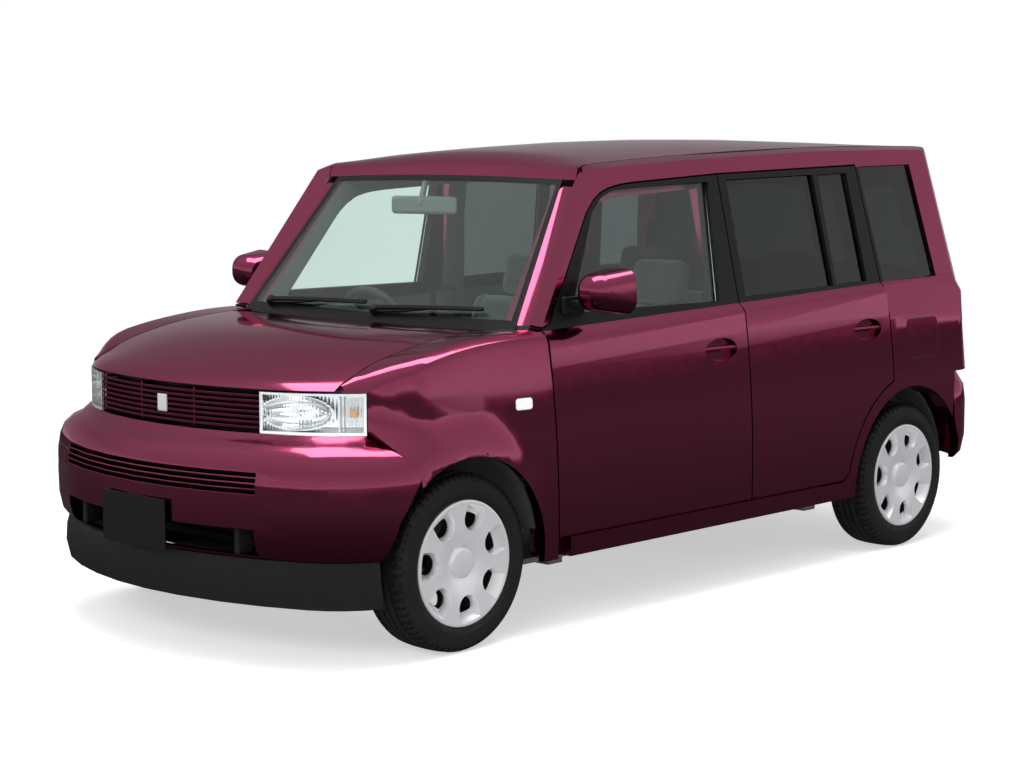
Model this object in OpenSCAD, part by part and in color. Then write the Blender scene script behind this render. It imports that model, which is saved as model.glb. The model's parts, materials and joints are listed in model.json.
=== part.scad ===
// Compact five-door minivan with a tall, boxy cabin on 15 inch wheels.
// X points forward, Y to the left and Z up. The origin is on the ground under the middle of the body.

/* [Overall size] */
// Length over both bumpers
overall_length = 3825; // [3700:5:3950]
// Width over the doors, without the mirrors
body_width = 1690; // [1660:5:1720]
// Height of the roof above the ground
overall_height = 1640; // [1610:5:1670]
// Front axle to the front of the bumper
front_overhang = 692; // [680:2:705]
// Rear axle to the back of the bumper
rear_overhang = 633; // [625:1:645]

/* [Wheels] */
// Outer diameter of a tyre
tyre_d = 584; // [570:2:596]
// Width of a tyre
tyre_w = 185; // [175:5:195]
// Diameter of the rim at the bead
rim_d = 381; // [370:1:390]
// How far a tyre's middle lies inside the doors' widest line
tyre_in = 125; // [118:1:135]
// Radius of the front wheel arches
front_arch_r = 347; // [345:1:355]
// Radius of the rear wheel arches
rear_arch_r = 366; // [355:1:375]

/* [Body sides] */
// Rise of the belt line to the rear, in degrees
belt_rise = 1.9; // [0.5:0.1:2.5]
// Height of the widest line of the doors
crown_z = 632; // [600:2:660]
// Radius of the doors' upright curve
side_r = 4000; // [3500:50:6000]
// Height of the shoulder crease amidships
shoulder_z = 1008; // [990:1:1020]
// Height of the window base amidships
belt_z = 1042; // [1032:1:1055]
// How far the window base lies inside the doors' widest line
belt_in = 45; // [38:1:55]
// Inward lean of the side windows, in degrees
tumblehome = 10.3; // [8:0.1:12]
// Lower edge of the doors
door_bottom_z = 321; // [310:1:335]
// Lower edge of the sills
sill_z = 250; // [240:1:265]
// Gap between panels that move
panel_gap = 6.5; // [6:0.1:8]
// Thickness of the doors
door_t = 55; // [48:1:58]

/* [Front] */
// Radius of the nose seen from above
nose_r = 1450; // [1350:10:1600]
// Height of the bonnet in front of the windscreen
bonnet_z = 1014; // [1005:1:1025]
// Width of a fender's top, from the bonnet to the doors' widest line
fender_w = 209; // [200:1:220]
// Lower edge of the headlamps
lamp_z = 727; // [720:1:735]
// Height of the headlamps and of the grille
lamp_h = 131; // [125:1:134]
// Number of grille bars
grille_bars = 7; // [4:1:8]

/* [Joints] */
// Radius of the door hinge pins
pin_r = 4; // [3:0.5:4.5]
// Running clearance of pins and spindles
fit = 0.06; // [0.03:0.01:0.1]
// Radius of the wheel spindles
spindle_r = 19; // [16:1:22]

/* [Hidden] */
$fn = 48;
xf = overall_length / 2 - front_overhang;
xr = rear_overhang - overall_length / 2;
wheelbase = xf - xr;
xm = (xf + xr) / 2;
x_front = overall_length / 2;
x_rear = -x_front;
hw = body_width / 2;
track = body_width - 2 * tyre_in;
bonnet_half = hw - fender_w;
tyre_r = tyre_d / 2;
axle_z = tyre_r;
seam = 3;
frame_in = hw - 110;
side_in = hw - 255;
roof_half = hw - belt_in - (overall_height - 43 - belt_z) * tan(tumblehome) - 63.13;
frame_d = door_t + 7;
lamp_top = lamp_z + lamp_h;
nose_cx = x_front - 116 - nose_r;
bumper_cx = x_front - nose_r;
kingpin_y = track / 2 - 92;
kingpin_lean = 8;
tailgate_axis = [tail_x(overall_height - 44) + 24.58, overall_height - 44];
bonnet_axis = [xf - 270, bonnet_z - 45];
bonnet_rear_x = bonnet_axis[0] + 45;
hinge_ahead = 26;
hinge_in = 22;

paint = [0.36, 0.07, 0.17];
black = [0.06, 0.06, 0.07];
steel = [0.45, 0.46, 0.48];
glass_clear = [0.7, 0.8, 0.78, 0.4];
glass_dark = [0.1, 0.12, 0.13, 0.7];
silver = [0.75, 0.76, 0.78];
cloth = [0.35, 0.36, 0.38];

// Body form: each function gives one line or surface of the outside.
function rise(x) = (xm - x) * tan(belt_rise);
function low_y(x, z) = hw - pow(z - crown_z - rise(x), 2) / (2 * side_r);
function plane_y(x, z) = hw - belt_in - (z - belt_z - rise(x)) * tan(tumblehome);
function front_drop(x, ahead, r) = pow(max(0, x - xf + ahead), 2) / (2 * r);
function rail_z(x) = overall_height - 43 - 120.2 * pow((x - xr) / wheelbase, 2)
    - min(300, front_drop(x, 770, 150));
function edge_z(x) = rail_z(x) + 14;
function roof_mid(x) = overall_height - 217.3 * pow((x - xr) / wheelbase - 0.22, 2)
    - front_drop(x, 860, 205);
function roof_z(x, y) = edge_z(x) + (roof_mid(x) - edge_z(x)) * (1 - pow(y / roof_half, 2));
// Height of a point of the cabin: its place between the window base and the roof at the drawn height.
drawn_cabin = 598;
function up(z) = belt_z + (z - 1042) * (overall_height - belt_z) / drawn_cabin;
// Middle of the gap between the doors at the window base, by its share of the wheelbase.
post_x = xr + 0.4312 * wheelbase;
function shut_a(z) = xf - 372 - (1000 - z) * 0.0635;
function shut_b(z) = post_x - (1000 - z) * 0.0635;
function shut_c(z) = xr + 168 - (1000 - z) * (z > 1000 ? 0.146 : 0.12);
function tail_x(z) = xr - 515 + (z - 701) * 0.196;
function arc(cx, cy, r, a0, a1, n) = [for (i = [0:n]) let (a = a0 + (a1 - a0) * i / n)
    [cx + r * cos(a), cy + r * sin(a)]];
function back(list) = [for (i = [len(list) - 1:-1:0]) list[i]];
function mirrored(list) = [for (i = [len(list) - 1:-1:0]) [list[i][0], -list[i][1]]];

// Nose seen from above: an arc across the middle, then a tighter one from nose_turn degrees round to
// the lamp's end. Distance from the arc's centre, blended to the tighter arc's at the front corners.
corner_r = 0.71 * hw;
nose_turn = asin(0.2992 * hw / (nose_r - corner_r));
corner_c = [nose_cx + (nose_r - corner_r) * cos(nose_turn), (nose_r - corner_r) * sin(nose_turn)];
function part(v) = max(0, min(1, v));
function corner_d(x, y) = nose_r - corner_r + norm([x - corner_c[0], abs(y) - corner_c[1]]);
function nose_d(x, y) = let (d = norm([x - nose_cx, y]), w = part((x - xf - 260) / 130))
    abs(y) < tan(nose_turn) * (x - nose_cx) ? d : d + w * max(0, corner_d(x, y) - d);

// Bonnet height from that distance, with a tighter bend at the front edge.
bonnet_end = nose_r - 4;
function bonnet_at(d) = bonnet_z - pow(max(0, d - nose_r + 620), 2) / 2740
    - pow(max(0, d - bonnet_end + 36), 2) / 133;
function bonnet_h(x, y) = bonnet_at(nose_d(x, y));
function bonnet_edge(y) = abs(y) < bonnet_end * sin(nose_turn) ? nose_cx + sqrt(pow(bonnet_end, 2) - y * y)
    : corner_c[0] + sqrt(pow(bonnet_end - nose_r + corner_r, 2) - pow(abs(y) - corner_c[1], 2));

// Solid through rows of points: each row is one closed section with the same count.
// The faces turn round by themselves so that they look outward. The ends of a slab, whose rows run
// out along one face and back along the other, are closed by a strip.
function sum(list) = list * [for (v = list) 1];
module loft(rows, slab = false) {
    n = len(rows[0]);
    m = len(rows);
    points = [for (r = rows) for (p = r) p];
    cap0 = [for (i = [0:n - 1]) i];
    cap1 = [for (i = [n - 1:-1:0]) (m - 1) * n + i];
    walls = [for (j = [0:m - 2]) for (i = [0:n - 1]) for (t = [0, 1])
        let (a = j * n + i, b = j * n + (i + 1) % n, c = a + n, d = b + n) t == 0 ? [a, c, d] : [a, d, b]];
    strip = [for (i = [0:n / 2 - 2]) for (t = [0, 1])
        t == 0 ? [i, i + 1, n - 2 - i] : [i, n - 2 - i, n - 1 - i]];
    caps = slab ? concat(strip, [for (f = strip) [for (v = back(f)) v + (m - 1) * n]]) : [cap0, cap1];
    faces = concat(caps, walls);
    volume = sum([for (f = faces) for (k = [1:len(f) - 2])
        cross(points[f[0]], points[f[k]]) * points[f[k + 1]]]);
    polyhedron(points, volume > 0 ? [for (f = faces) back(f)] : faces, convexity = 8);
}

// Upright section of the body side at station x, from the sill to height r, moved inward by d.
function side_line(x, d, r) = let (s = shoulder_z + rise(x), b = belt_z + rise(x)) concat(
    [for (z = [sill_z - 40, 330, 430, 530, 632, 730, 820, 890, 950]) [x, low_y(x, z) - d, z]],
    [[x, low_y(x, s) - d, s], [x, hw - belt_in + 15 - d, b - 14], [x, hw - belt_in - d, b],
     [x, plane_y(x, r) - d, r]]);

// Slab of the body side between two depths and two stations.
module side_slab(xa, xb, d0, d1)
    loft([for (x = [xa, xb]) let (r = overall_height - 40)
        concat(side_line(x, d0, r), back(side_line(x, d1, r)))], true);

// Prism through the whole left side from an outline in side view.
module side_prism(y0 = hw - 445, y1 = hw + 155) translate([0, y1, 0]) rotate([90, 0, 0])
    linear_extrude(y1 - y0) children();

module left_right() {
    children();
    mirror([0, 1, 0]) children();
}

// Outline of the front door in side view, on the middle of its gap.
module front_door_2d() polygon(concat(
    [[shut_a(door_bottom_z), door_bottom_z], [shut_a(1021), 1021], [xf - 412, belt_z - 6]],
    [for (p = [[660, 1390], [706, 1434], [745, 1457], [787, 1472], [850, 1483], [924, 1490]])
        [xf - p[0], up(p[1])]],
    [[shut_b(up(1514)), up(1514)], [shut_b(door_bottom_z), door_bottom_z]]));

// Outline of the rear door, which follows the wheel arch at its lower rear corner.
module rear_door_2d() polygon(concat(
    [[shut_b(door_bottom_z), door_bottom_z], [shut_b(up(1514)), up(1514)]],
    [[shut_c(up(1538)), up(1538)], [shut_c(1000), 1000]],
    arc(xr, axle_z, rear_arch_r + 54, 71, 8, 8),
    [[xr + rear_arch_r + 90, door_bottom_z]]));

// Outlines of the side windows: distance from the named station, height at the drawn size.
function cabin_line(x, list) = [for (p = list) [x + p[0], up(p[1])]];
module front_glass_2d() polygon(concat(
    cabin_line(xf, [[-522, 1062], [-690, 1392], [-745, 1440], [-800, 1461], [-860, 1470]]),
    cabin_line(post_x, [[92, 1486], [116, 1060]])));
module rear_glass_2d() polygon(concat(
    cabin_line(post_x, [[-41, 1067], [-15, 1492]]), cabin_line(xr, [[532, 1504], [492, 1081]])));
module rear_pane_2d() polygon(cabin_line(xr, [[472, 1086], [500, 1503], [312, 1508], [268, 1088]]));
module quarter_glass_2d() polygon(cabin_line(xr, [[158, 1080], [226, 1532], [-129, 1538], [-216, 1087]]));

// Windscreen and pillar faces from their lines at the scuttle and at the header.
scuttle_z = 1026;
scuttle_half = hw - 151;
header_half = hw - 266;
function screen_k(z) = (z - scuttle_z) / (up(1506) - scuttle_z);
function screen_at(z, i) = let (k = screen_k(z),
        low = concat([[xf - 371, hw - 25], [xf - 359, scuttle_half]],
            [for (t = [0.75:-0.25:0]) [xf - 289 - 70 * t * t, scuttle_half * t]]),
        top = concat([[xf - 703, hw - 118], [xf - 712, header_half]],
            [for (t = [0.75:-0.25:0]) [xf - 697 - 15 * t * t, header_half * t]]))
    [for (j = [0:len(low) - 1]) let (m = low[j] + (top[j] - low[j]) * k) [m[0] - i * 1.24, m[1]]];
module screen_form(i = 0) loft([for (z = [150, overall_height + 60])
    let (h = screen_at(z, i), e = [xr - 900, h[0][1]])
    [for (p = concat([e], h, mirrored([for (q = [0:len(h) - 2]) h[q]]), [[e[0], -e[1]]]))
        [p[0], p[1], z]]]);

// Tail of the body with its rounded corners, drawn in by i.
function tail_half(z, i) = let (x = tail_x(z) + i, r = max(130, min(200, 130 + (1060 - z) * 0.25)) - i,
    y = (z > 1030 ? plane_y(xr - 300, z) : low_y(xr - 300, z)) + 4 - i)
    concat([[xf + 200, y]], arc(x + r, y - r, r, 90, 180, 6), [[x - 12, (y - r) * 0.55], [x - 18, 0]]);
module tail_form(i = 0, z0 = 150) loft([for (z = [z0, 380, 632, 860, 1020, 1060, overall_height + 20])
    let (h = tail_half(z, i))
    [for (p = concat(h, mirrored([for (q = [0:len(h) - 2]) h[q]]))) [p[0], p[1], z]]]);

// Axis line of a door hinge: the foot at height 0, leaning with the shut line.
hinge_lean = atan(0.0635);
function hinge_foot(a) = [(a ? shut_a(0) : shut_b(0)) + hinge_ahead, hw - hinge_in, 0];
module at_hinge(a) translate(hinge_foot(a)) rotate([0, hinge_lean, 0]) children();
hinge_heights = [430, 800];

// Door leaf's half of a hinge: barrel, upright and arm that reaches round the panel ahead.
module hinge_leaf(a) at_hinge(a) for (h = hinge_heights) translate([0, 0, h]) difference() {
    union() {
        cylinder(r = pin_r + 3, h = 40);
        translate([-3, -22, 0]) cube([8, 22, 40]);
        translate([-70, -26, 0]) cube([75, 8, 40]);
    }
    translate([0, 0, -1]) cylinder(r = pin_r + fit, h = 42);
}

// Body's half of a hinge: pin between two ears on a plate.
module hinge_post(a) at_hinge(a) for (h = hinge_heights) translate([0, 0, h]) {
    translate([0, 0, -8]) cylinder(r = pin_r, h = 56);
    for (z = [-8, 41]) translate([-4, -60, z]) cube([11, 60, 7]);
    for (z = [-8, 41]) translate([0, 0, z]) cylinder(r = pin_r + 3, h = 7);
}

// Door without its window, hinge leaf joined on.
edge_skin = 4;
function edge_x(a, z) = a ? shut_a(z) : shut_b(z);
module door_leaf(a, xa, xb) {
    difference() {
        intersection() {
            side_slab(xa, xb, 0, door_t);
            side_prism() offset(delta = -panel_gap / 2) { if (a) front_door_2d(); else rear_door_2d(); }
        }
        side_prism() { if (a) front_glass_2d(); else { rear_glass_2d(); rear_pane_2d(); } }
        // Front edge set back behind its outer skin, which swings clear of the panel ahead.
        intersection() {
            side_slab(xa + 30, xb, edge_skin, door_t + 30);
            side_prism() polygon([[edge_x(a, 0) + 40, 0], [edge_x(a, 1015) + 40, 1015],
                [edge_x(a, 1015) - 18, 1015], [edge_x(a, 0) - 18, 0]]);
        }
        if (a) at_hinge(false) for (h = hinge_heights) translate([-30, -70, h - 20]) cube([52, 82, 80]);
        // Handle recess.
        translate([a ? post_x + 150 : xr + 313, low_y(0, 890) + 32, a ? 890 : 904]) rotate([90, 0, 0])
            scale([1, 0.46, 1]) cylinder(r = 90, h = 52);
    }
    hinge_leaf(a);
    // Handle bar across its recess.
    translate([a ? post_x + 150 : xr + 313, low_y(0, 890) - 14, a ? 893 : 907])
        rotate([0, 90, 0]) cylinder(r = 11, h = 182, center = true);
}

module door_front() color(paint) door_leaf(true, xf - 350, post_x - 78);
module door_rear() color(paint) door_leaf(false, post_x + 42, xr + 100);

// Steering axis, along which the strut and its tower stand.
strut_top = 626;
module at_strut() translate([xf, kingpin_y, axle_z]) rotate([kingpin_lean, 0, 0]) children();

// Flat floor with its step up to the load floor's riser, and the jacking pads under the sills.
floor_z = 228;
floor_top = floor_z + 18;
module floor_pan() color(steel) {
    translate([xr + 400, -frame_in + 0.3, floor_z]) cube([wheelbase - 730, 2 * frame_in - 0.6, 18]);
    translate([xr + 302, -side_in, floor_z]) cube([110, 2 * side_in, 18]);
    left_right() for (x = [xf - 520, xr + 520]) translate([x - 35, frame_in - 75, 205]) cube([70, 60, 24]);
}

module tunnel() color(steel) translate([xr + 790, -110, floor_top + 0.3])
    cube([wheelbase - 1130.3, 220, 89.7]);

// Raised load floor between its two risers, with the rear wheelhouses.
module rear_floor() color(steel) {
    translate([xr - 440, -side_in, 540]) cube([760, 2 * side_in, 18]);
    translate([xr + 302, -side_in, floor_top + 0.3]) cube([18, 2 * side_in, 311.7]);
    translate([xr - 440, -side_in, 400]) cube([18, 2 * side_in, 158]);
    left_right() translate([xr, side_in - 5, axle_z]) rotate([-90, 0, 0]) difference() {
        cylinder(r = rear_arch_r + 12, h = frame_in - side_in + 4.7);
        translate([0, 0, 14]) cylinder(r = rear_arch_r + 2, h = 300);
        translate([-500, -60, -1]) cube([1000, 500, 400]);
    }
}

// Firewall, rails, aprons, strut towers and the radiator support.
rail_y = kingpin_y - 268;
module front_frame() color(steel) difference() {
    union() {
        translate([xf - 340, -frame_in + 0.3, floor_top + 0.3]) cube([18, 2 * frame_in - 0.6, 719.7]);
        left_right() {
            translate([xf - 340, rail_y, 380]) cube([760, 76, 100]);
            translate([xf - 340, rail_y + 70, 380]) cube([700, 16, 460]);
            translate([xf - 330, rail_y + 70, 824]) cube([480, bonnet_half - 16 - rail_y - 70, 16]);
            // Front wheelhouse liners.
            translate([xf, rail_y + 80, axle_z]) rotate([-90, 0, 0]) difference() {
                cylinder(r = 376, h = 330);
                translate([0, 0, -1]) cylinder(r = 368, h = 340);
                translate([-500, -60, -1]) cube([1000, 500, 400]);
                translate([200, -160, -1]) cube([300, 500, 400]);
            }
            // Fender brackets on the apron's flange.
            for (x = [xf - 110, xf + 110]) {
                translate([x, bonnet_half - 26, 824]) cube([20, 45, 16]);
                translate([x, bonnet_half + 7.5, 824])
                    cube([20, 12, bonnet_h(x + 20, bonnet_half) - 26.3 - 824]);
            }
            at_strut() translate([0, 0, 380]) cylinder(r = 82, h = strut_top - 366);
            // Bonnet hinge brackets with their pins.
            for (y = [-76, -36]) translate([bonnet_axis[0], bonnet_half + y, 0]) {
                translate([-12, 0, 830]) cube([24, 8, bonnet_axis[1] - 830]);
                translate([0, 0, bonnet_axis[1]]) rotate([-90, 0, 0]) cylinder(r = 12, h = 8);
            }
            translate([bonnet_axis[0], bonnet_half - 75, bonnet_axis[1]]) rotate([-90, 0, 0])
                cylinder(r = 5, h = 46);
        }
        translate([xf + 360, -rail_y - 80, 300]) cube([25, 2 * rail_y + 160, 540]);
    }
    left_right() {
        at_strut() translate([0, 0, 300]) cylinder(r = 70, h = strut_top - 300);
        translate([xf, rail_y + 96, axle_z]) rotate([-90, 0, 0]) cylinder(r = 367.9, h = 309);
    }
    translate([xf + 350, -rail_y + 30, 380]) cube([60, 2 * rail_y - 60, 400]);
    translate([xf - 341, -300, 560]) cube([20, 600, 90]);
}

// Depth of the pillars, more at the windscreen.
function pillar_d(x) = 105 + 65 * max(0, min(1, (x - xf + 1000) / 240));

module body_side() color(paint) {
    stations = concat([for (d = [340, 480, 560, 640, 700, 760, 850, 1000]) xf - d],
        [xm, xr + 500, xr, xr - 320, xr - 540]);
    difference() {
        intersection() {
            loft([for (x = stations) let (r = rail_z(x), d = pillar_d(x), inner = side_line(x, d, r))
                concat(side_line(x, 0, r),
                    [[x, roof_half + seam + 20, edge_z(x) - 2], [x, roof_half + seam, edge_z(x)]],
                    [[x, roof_half + seam, edge_z(x) - 30 - 25 * part((x - xf + 760) / 40)],
                     [x, plane_y(x, r) - d + 8, r - 40]],
                    back([for (i = [0:len(inner) - 2]) inner[i]]))]);
            screen_form();
            union() {
                difference() {
                    tail_form();
                    translate([0, 0, -10]) tail_form(62, 140);
                }
                translate([xr - 180, 0, 0]) cube([overall_length, body_width, 2 * overall_height]);
            }
            translate([xr - 900, 0, sill_z]) cube([2 * overall_length, body_width, 2 * overall_height]);
        }
        // Fender's place ahead of the front door.
        side_prism() polygon([[shut_a(0) + 33, 0], [shut_a(1017) + 33, 1017], [shut_a(1021) - 40, 1021],
            [xf + 900, 1021], [xf + 900, 0]]);
        side_prism(hw - frame_d) polygon([[shut_a(0) - 60, 0], [shut_a(1021) - 60, 1021],
            [xf + 900, 1021], [xf + 900, 0]]);
        translate([xf - 374, hw - 245, 984]) cube([300, 190, 37]);
        // Rear bumper's place.
        side_prism() polygon([[xr - 900, 0], [xr - 900, 694], [xr - rear_arch_r + 63, 694],
            [xr - rear_arch_r + 63, 0]]);
        // Inner face of the sill and of the lower pillars.
        translate([xr - 900, 0, 0]) cube([2 * overall_length, frame_in, 1026]);
        // Door openings.
        intersection() {
            side_slab(xf - 300, xr + 60, -40, frame_d);
            side_prism() {
                offset(delta = panel_gap / 2) front_door_2d();
                offset(delta = panel_gap / 2) rear_door_2d();
            }
        }
        side_prism() offset(delta = -50) front_door_2d();
        side_prism() offset(delta = -50) rear_door_2d();
        side_prism() quarter_glass_2d();
        // Wheel arch.
        translate([xr, side_in - 90, axle_z]) rotate([-90, 0, 0]) cylinder(r = rear_arch_r, h = 500);
        // Place of the windscreen and of the tail lamps.
        intersection() {
            difference() {
                screen_form(-1);
                screen_form(9);
            }
            loft([for (z = [900, overall_height + 60]) let (h = screen_at(z, 0)[1][1] + 0.3)
                [[-3000, -h, z], [-3000, h, z], [3000, h, z], [3000, -h, z]]]);
        }
        translate([xr - 700, hw - 205, 700]) cube([330, 400, 190]);
    }
    // Hinge plates for both doors.
    hinge_post(true);
    hinge_post(false);
}

module body_side_left() body_side();
module body_side_right() mirror([0, 1, 0]) body_side();

// Header, where the roof's front edge lies in the windscreen's face.
function header_z(y) = up(1518) - 12 * pow(y / roof_half, 2);
function header_x(y, z) = let (t = y / (header_half + 5))
    xf - 288.5 - 70 * t * t + (55 * t * t - 408) * screen_k(z);

// Slab under the roof's outside between two depths, ending in the windscreen's face.
module roof_slab(low, high) {
    end = tailgate_axis[0] + 7;
    steps = [0, 0.006, 0.014, 0.025, 0.045, 0.075, 0.11, 0.15, 0.2, 0.36, 0.52, 0.68, 0.84, 1];
    loft([for (u = steps) [for (q = [[high, [-8:8]], [low, [8:-1:-8]]]) for (k = q[1])
        let (y = k * roof_half / 8, z = header_z(y) + q[0] / 4, front = header_x(y, header_z(y)),
            x = front + (end - front) * u)
        u == 0 ? [header_x(y, z), y, z] : [x, y, roof_z(x, y) + q[0]]]], true);
}

module roof() color(paint) {
    difference() {
        roof_slab(-24, 0);
        translate([tailgate_axis[0], -hw, tailgate_axis[1]]) rotate([-90, 0, 0])
            cylinder(r = 25.5, h = 2 * hw);
    }
    // Tailgate hinge ears and pins.
    for (s = [-1, 1]) translate([tailgate_axis[0], s * 420, tailgate_axis[1]]) {
        for (y = [-20, 14]) translate([0, y, 0]) {
            translate([-3, 0, -9]) cube([58, 6, 18]);
            rotate([-90, 0, 0]) cylinder(r = 9, h = 6);
        }
        translate([0, -20, 0]) rotate([-90, 0, 0]) cylinder(r = 5, h = 40);
    }
}

module windscreen() color(glass_clear) difference() {
    intersection() {
        screen_form();
        loft([for (z = [990, overall_height + 60]) let (h = screen_at(z, 0)[1][1])
            [[-3000, -h, z], [-3000, h, z], [3000, h, z], [3000, -h, z]]]);
        translate([xf - 800, -hw, 1000]) cube([700, 2 * hw, up(1545) - 1000]);
    }
    screen_form(6);
    // Room for the header above the glass.
    loft([for (k = [-8:8]) let (y = k * roof_half / 8, z = header_z(y) - 6.5)
        [[xf - 900, y, z], [xf - 500, y, z], [xf - 500, y, z + 200], [xf - 900, y, z + 200]]]);
}

module quarter_glass() color(glass_dark) left_right() intersection() {
    side_slab(xr + 300, xr - 300, 12, 17);
    side_prism() quarter_glass_2d();
}

// Fender side: drawn in a little ahead of the door, cut back by the lamp's curve, with the flare that
// swells round the wheel arch and runs on into the bumper.
function lamp_y(x) = x < corner_c[0] + 100 ? hw + 40
    : corner_c[1] + sqrt(max(0, corner_r * corner_r - pow(x - corner_c[0], 2)));
function soft_max(a, b, k) = (a + b + sqrt(pow(a - b, 2) + k * k)) / 2;
function flare_y(x, z) = hw - pow(max(0, norm([x - xf, z - axle_z]) - front_arch_r), 2) / 390
    - 16 * part((xf - 250 - x) / 100);
function fender_y(x, z) = soft_max(min(low_y(x, z) - 24 * part((x - xf + 360) / 300), lamp_y(x)),
    flare_y(x, z), 8);

// Section of the fender at station x, moved inward by d: side rows, then the crest down to the
// bonnet's gap.
function fender_line(x, d) = let (e = bonnet_half + panel_gap, t = bonnet_h(x, bonnet_half) + 3,
        y = max(e + 20, fender_y(x, t - 45)), k = min(d, (y - e) * 0.6)) concat(
    [for (z = [sill_z, 330, 420, 500, 570, 630, 680, 730, 780, 830])
        [x, max(e + 20, fender_y(x, min(z, t - 60))) - k, min(z, t - 60 + z / 100)]],
    [for (c = [[2, 0.05, 45, 0], [10, 0.2, 20, 0.6], [28, 0.45, 5, 0.8], [55, 0.75, 0, 1]])
        [x, y - min(c[0], (y - e) * c[1]) - k * (1 - c[1]), t - c[2] - d * c[3]]],
    [[x, e, t - 3 - d]]);

module fender() color(paint) difference() {
    xs = [for (i = [0:18]) shut_a(0) + panel_gap / 2 + i * (xf + 372 - shut_a(0)) / 18];
    loft([for (x = xs) concat(fender_line(x, 0), back(fender_line(x, 26)))], true);
    // Wheel arch, door gap, hinge pocket, headlamp and bumper.
    translate([xf, hw - 545, axle_z]) rotate([-90, 0, 0]) cylinder(r = front_arch_r, h = 700);
    side_prism(hw - 545) polygon([[shut_a(0) + panel_gap / 2, 0], [shut_a(1200) + panel_gap / 2, 1200],
        [xf - 1200, 1200], [xf - 1200, 0]]);
    at_hinge(true) for (h = hinge_heights) translate([-40, -120, h - 20]) cube([66, 129, 80]);
    translate([0, 0, lamp_z - seam]) linear_extrude(lamp_h + 2 * seam) offset(delta = seam)
        lamp_shell(-60, 96);
    translate([0, 0, lamp_z - 20]) linear_extrude(300) lamp_shell(-2, -300);
    side_prism(hw - 545) polygon([[xf + 216, 0], [xf + 219, 594.5], [xf + 330, 742], [xf + 800, 742],
        [xf + 800, 0]]);
    translate([xf - 372, hw - 545, 1006]) cube([30, 500, 60]);
    side_prism(hw - 245, hw - 139)
        polygon([[xf - 304, 985], [xf - 380, 1080], [xf - 600, 1080], [xf - 600, 985]]);
}
module fender_left() fender();
module fender_right() mirror([0, 1, 0]) fender();

// Stations round the front bumper: arc across the nose, then a tighter corner.
bumper_corner = [380, asin((hw + 5 - 380) / (nose_r - 380))];
function bumper_path() = let (r = bumper_corner[0], a = bumper_corner[1], c = nose_r - r) concat(
    [for (t = [0:0.25:1]) let (b = a * t) [bumper_cx + nose_r * cos(b), nose_r * sin(b), b]],
    [for (t = [1:6]) let (b = a + (88 - a) * t / 6)
        [bumper_cx + c * cos(a) + r * cos(b), c * sin(a) + r * sin(b), b]]);
function both(path) = concat([for (i = [len(path) - 1:-1:1]) [path[i][0], -path[i][1], -path[i][2]]], path);
module swept(path, profile)
    loft([for (s = path) [for (p = profile) [s[0] + p[0] * cos(s[2]), s[1] + p[0] * sin(s[2]), p[1]]]]);

// Bumper sections: distance out from the path, height.
bumper_skin = [[-34, 343], [-12, 372], [-2, 420], [0, 500], [-3, 580], [-10, 628], [-26, 664], [-50, 686],
    [-84, 702], [-112, lamp_z - 0.3], [-124, lamp_z - 0.3], [-92, 680], [-60, 660], [-42, 630], [-40, 500],
    [-44, 420], [-58, 343]];
lip_skin = [[-62, 188], [-34, 196], [-22, 250], [-26, 310], [-36, 342.7], [-58, 342.7], [-52, 300],
    [-50, 230], [-62, 210]];
inlet_half = hw - 350;
slot_count = 4;
slot_pitch = 18;
module front_bumper() color(paint) difference() {
    swept(both(bumper_path()), bumper_skin);
    // Wheel arch and the seam to the fender.
    left_right() side_prism(hw - 545) polygon([[xf - 400, 100], [xf + front_arch_r + 6, 100],
        [xf + front_arch_r + 5, 330], [xf + front_arch_r - 46, 470], [xf + 219.6, 593.7],
        [xf + 330.6, 741.2], [xf + 330.6, 900], [xf - 400, 900]]);
    // Upper slots and the wide lower opening.
    for (i = [0:slot_count - 1]) translate([x_front - 220, -inlet_half, 552 + i * slot_pitch])
        cube([400, 2 * inlet_half, slot_pitch * 0.67]);
    translate([x_front - 240, -inlet_half + 5, 356]) cube([400, 2 * inlet_half - 10, 84]);
    // Number plate bolt holes.
    for (y = [-105, 105]) translate([x_front - 200, y, 482]) rotate([0, 90, 0]) cylinder(r = 3, h = 400);
}

module front_lip() color(black) difference() {
    swept(both(bumper_path()), lip_skin);
    left_right() translate([xf, hw - 545, axle_z]) rotate([-90, 0, 0])
        cylinder(r = front_arch_r + 3, h = 700);
    translate([xf - 200, -hw - 155, 100]) cube([420, 2 * hw + 310, 300]);
}

// Band of the nose between two distances from its centre and two angles.
module nose_band(r0, r1, z, h, a0, a1) translate([nose_cx, 0, z]) linear_extrude(h) intersection() {
    difference() {
        circle(r = r1, $fn = 240);
        circle(r = r0, $fn = 240);
    }
    polygon([[0, 0], 2 * nose_r * [cos(a0), sin(a0)], 2 * nose_r * [cos(a1), sin(a1)]]);
}

lamp_start = nose_turn - 0.5;
module grille() color(paint) {
    g = lamp_start - 0.02;
    pitch = (lamp_h - 14) / grille_bars;
    nose_band(nose_r - 60, nose_r - 52, lamp_z, lamp_h - 2, -g, g);
    for (i = [0:grille_bars - 1])
        nose_band(nose_r - 56, nose_r - 4, lamp_z + 12 + i * pitch, pitch * 0.5, -g, g);
    for (a = [-1, -1 / 3, 1 / 3, 1]) nose_band(nose_r - 58, nose_r - 16, lamp_z + 4, lamp_h - 8,
        a * (g - 0.17) - 0.17, a * (g - 0.17) + 0.17);
}

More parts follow.
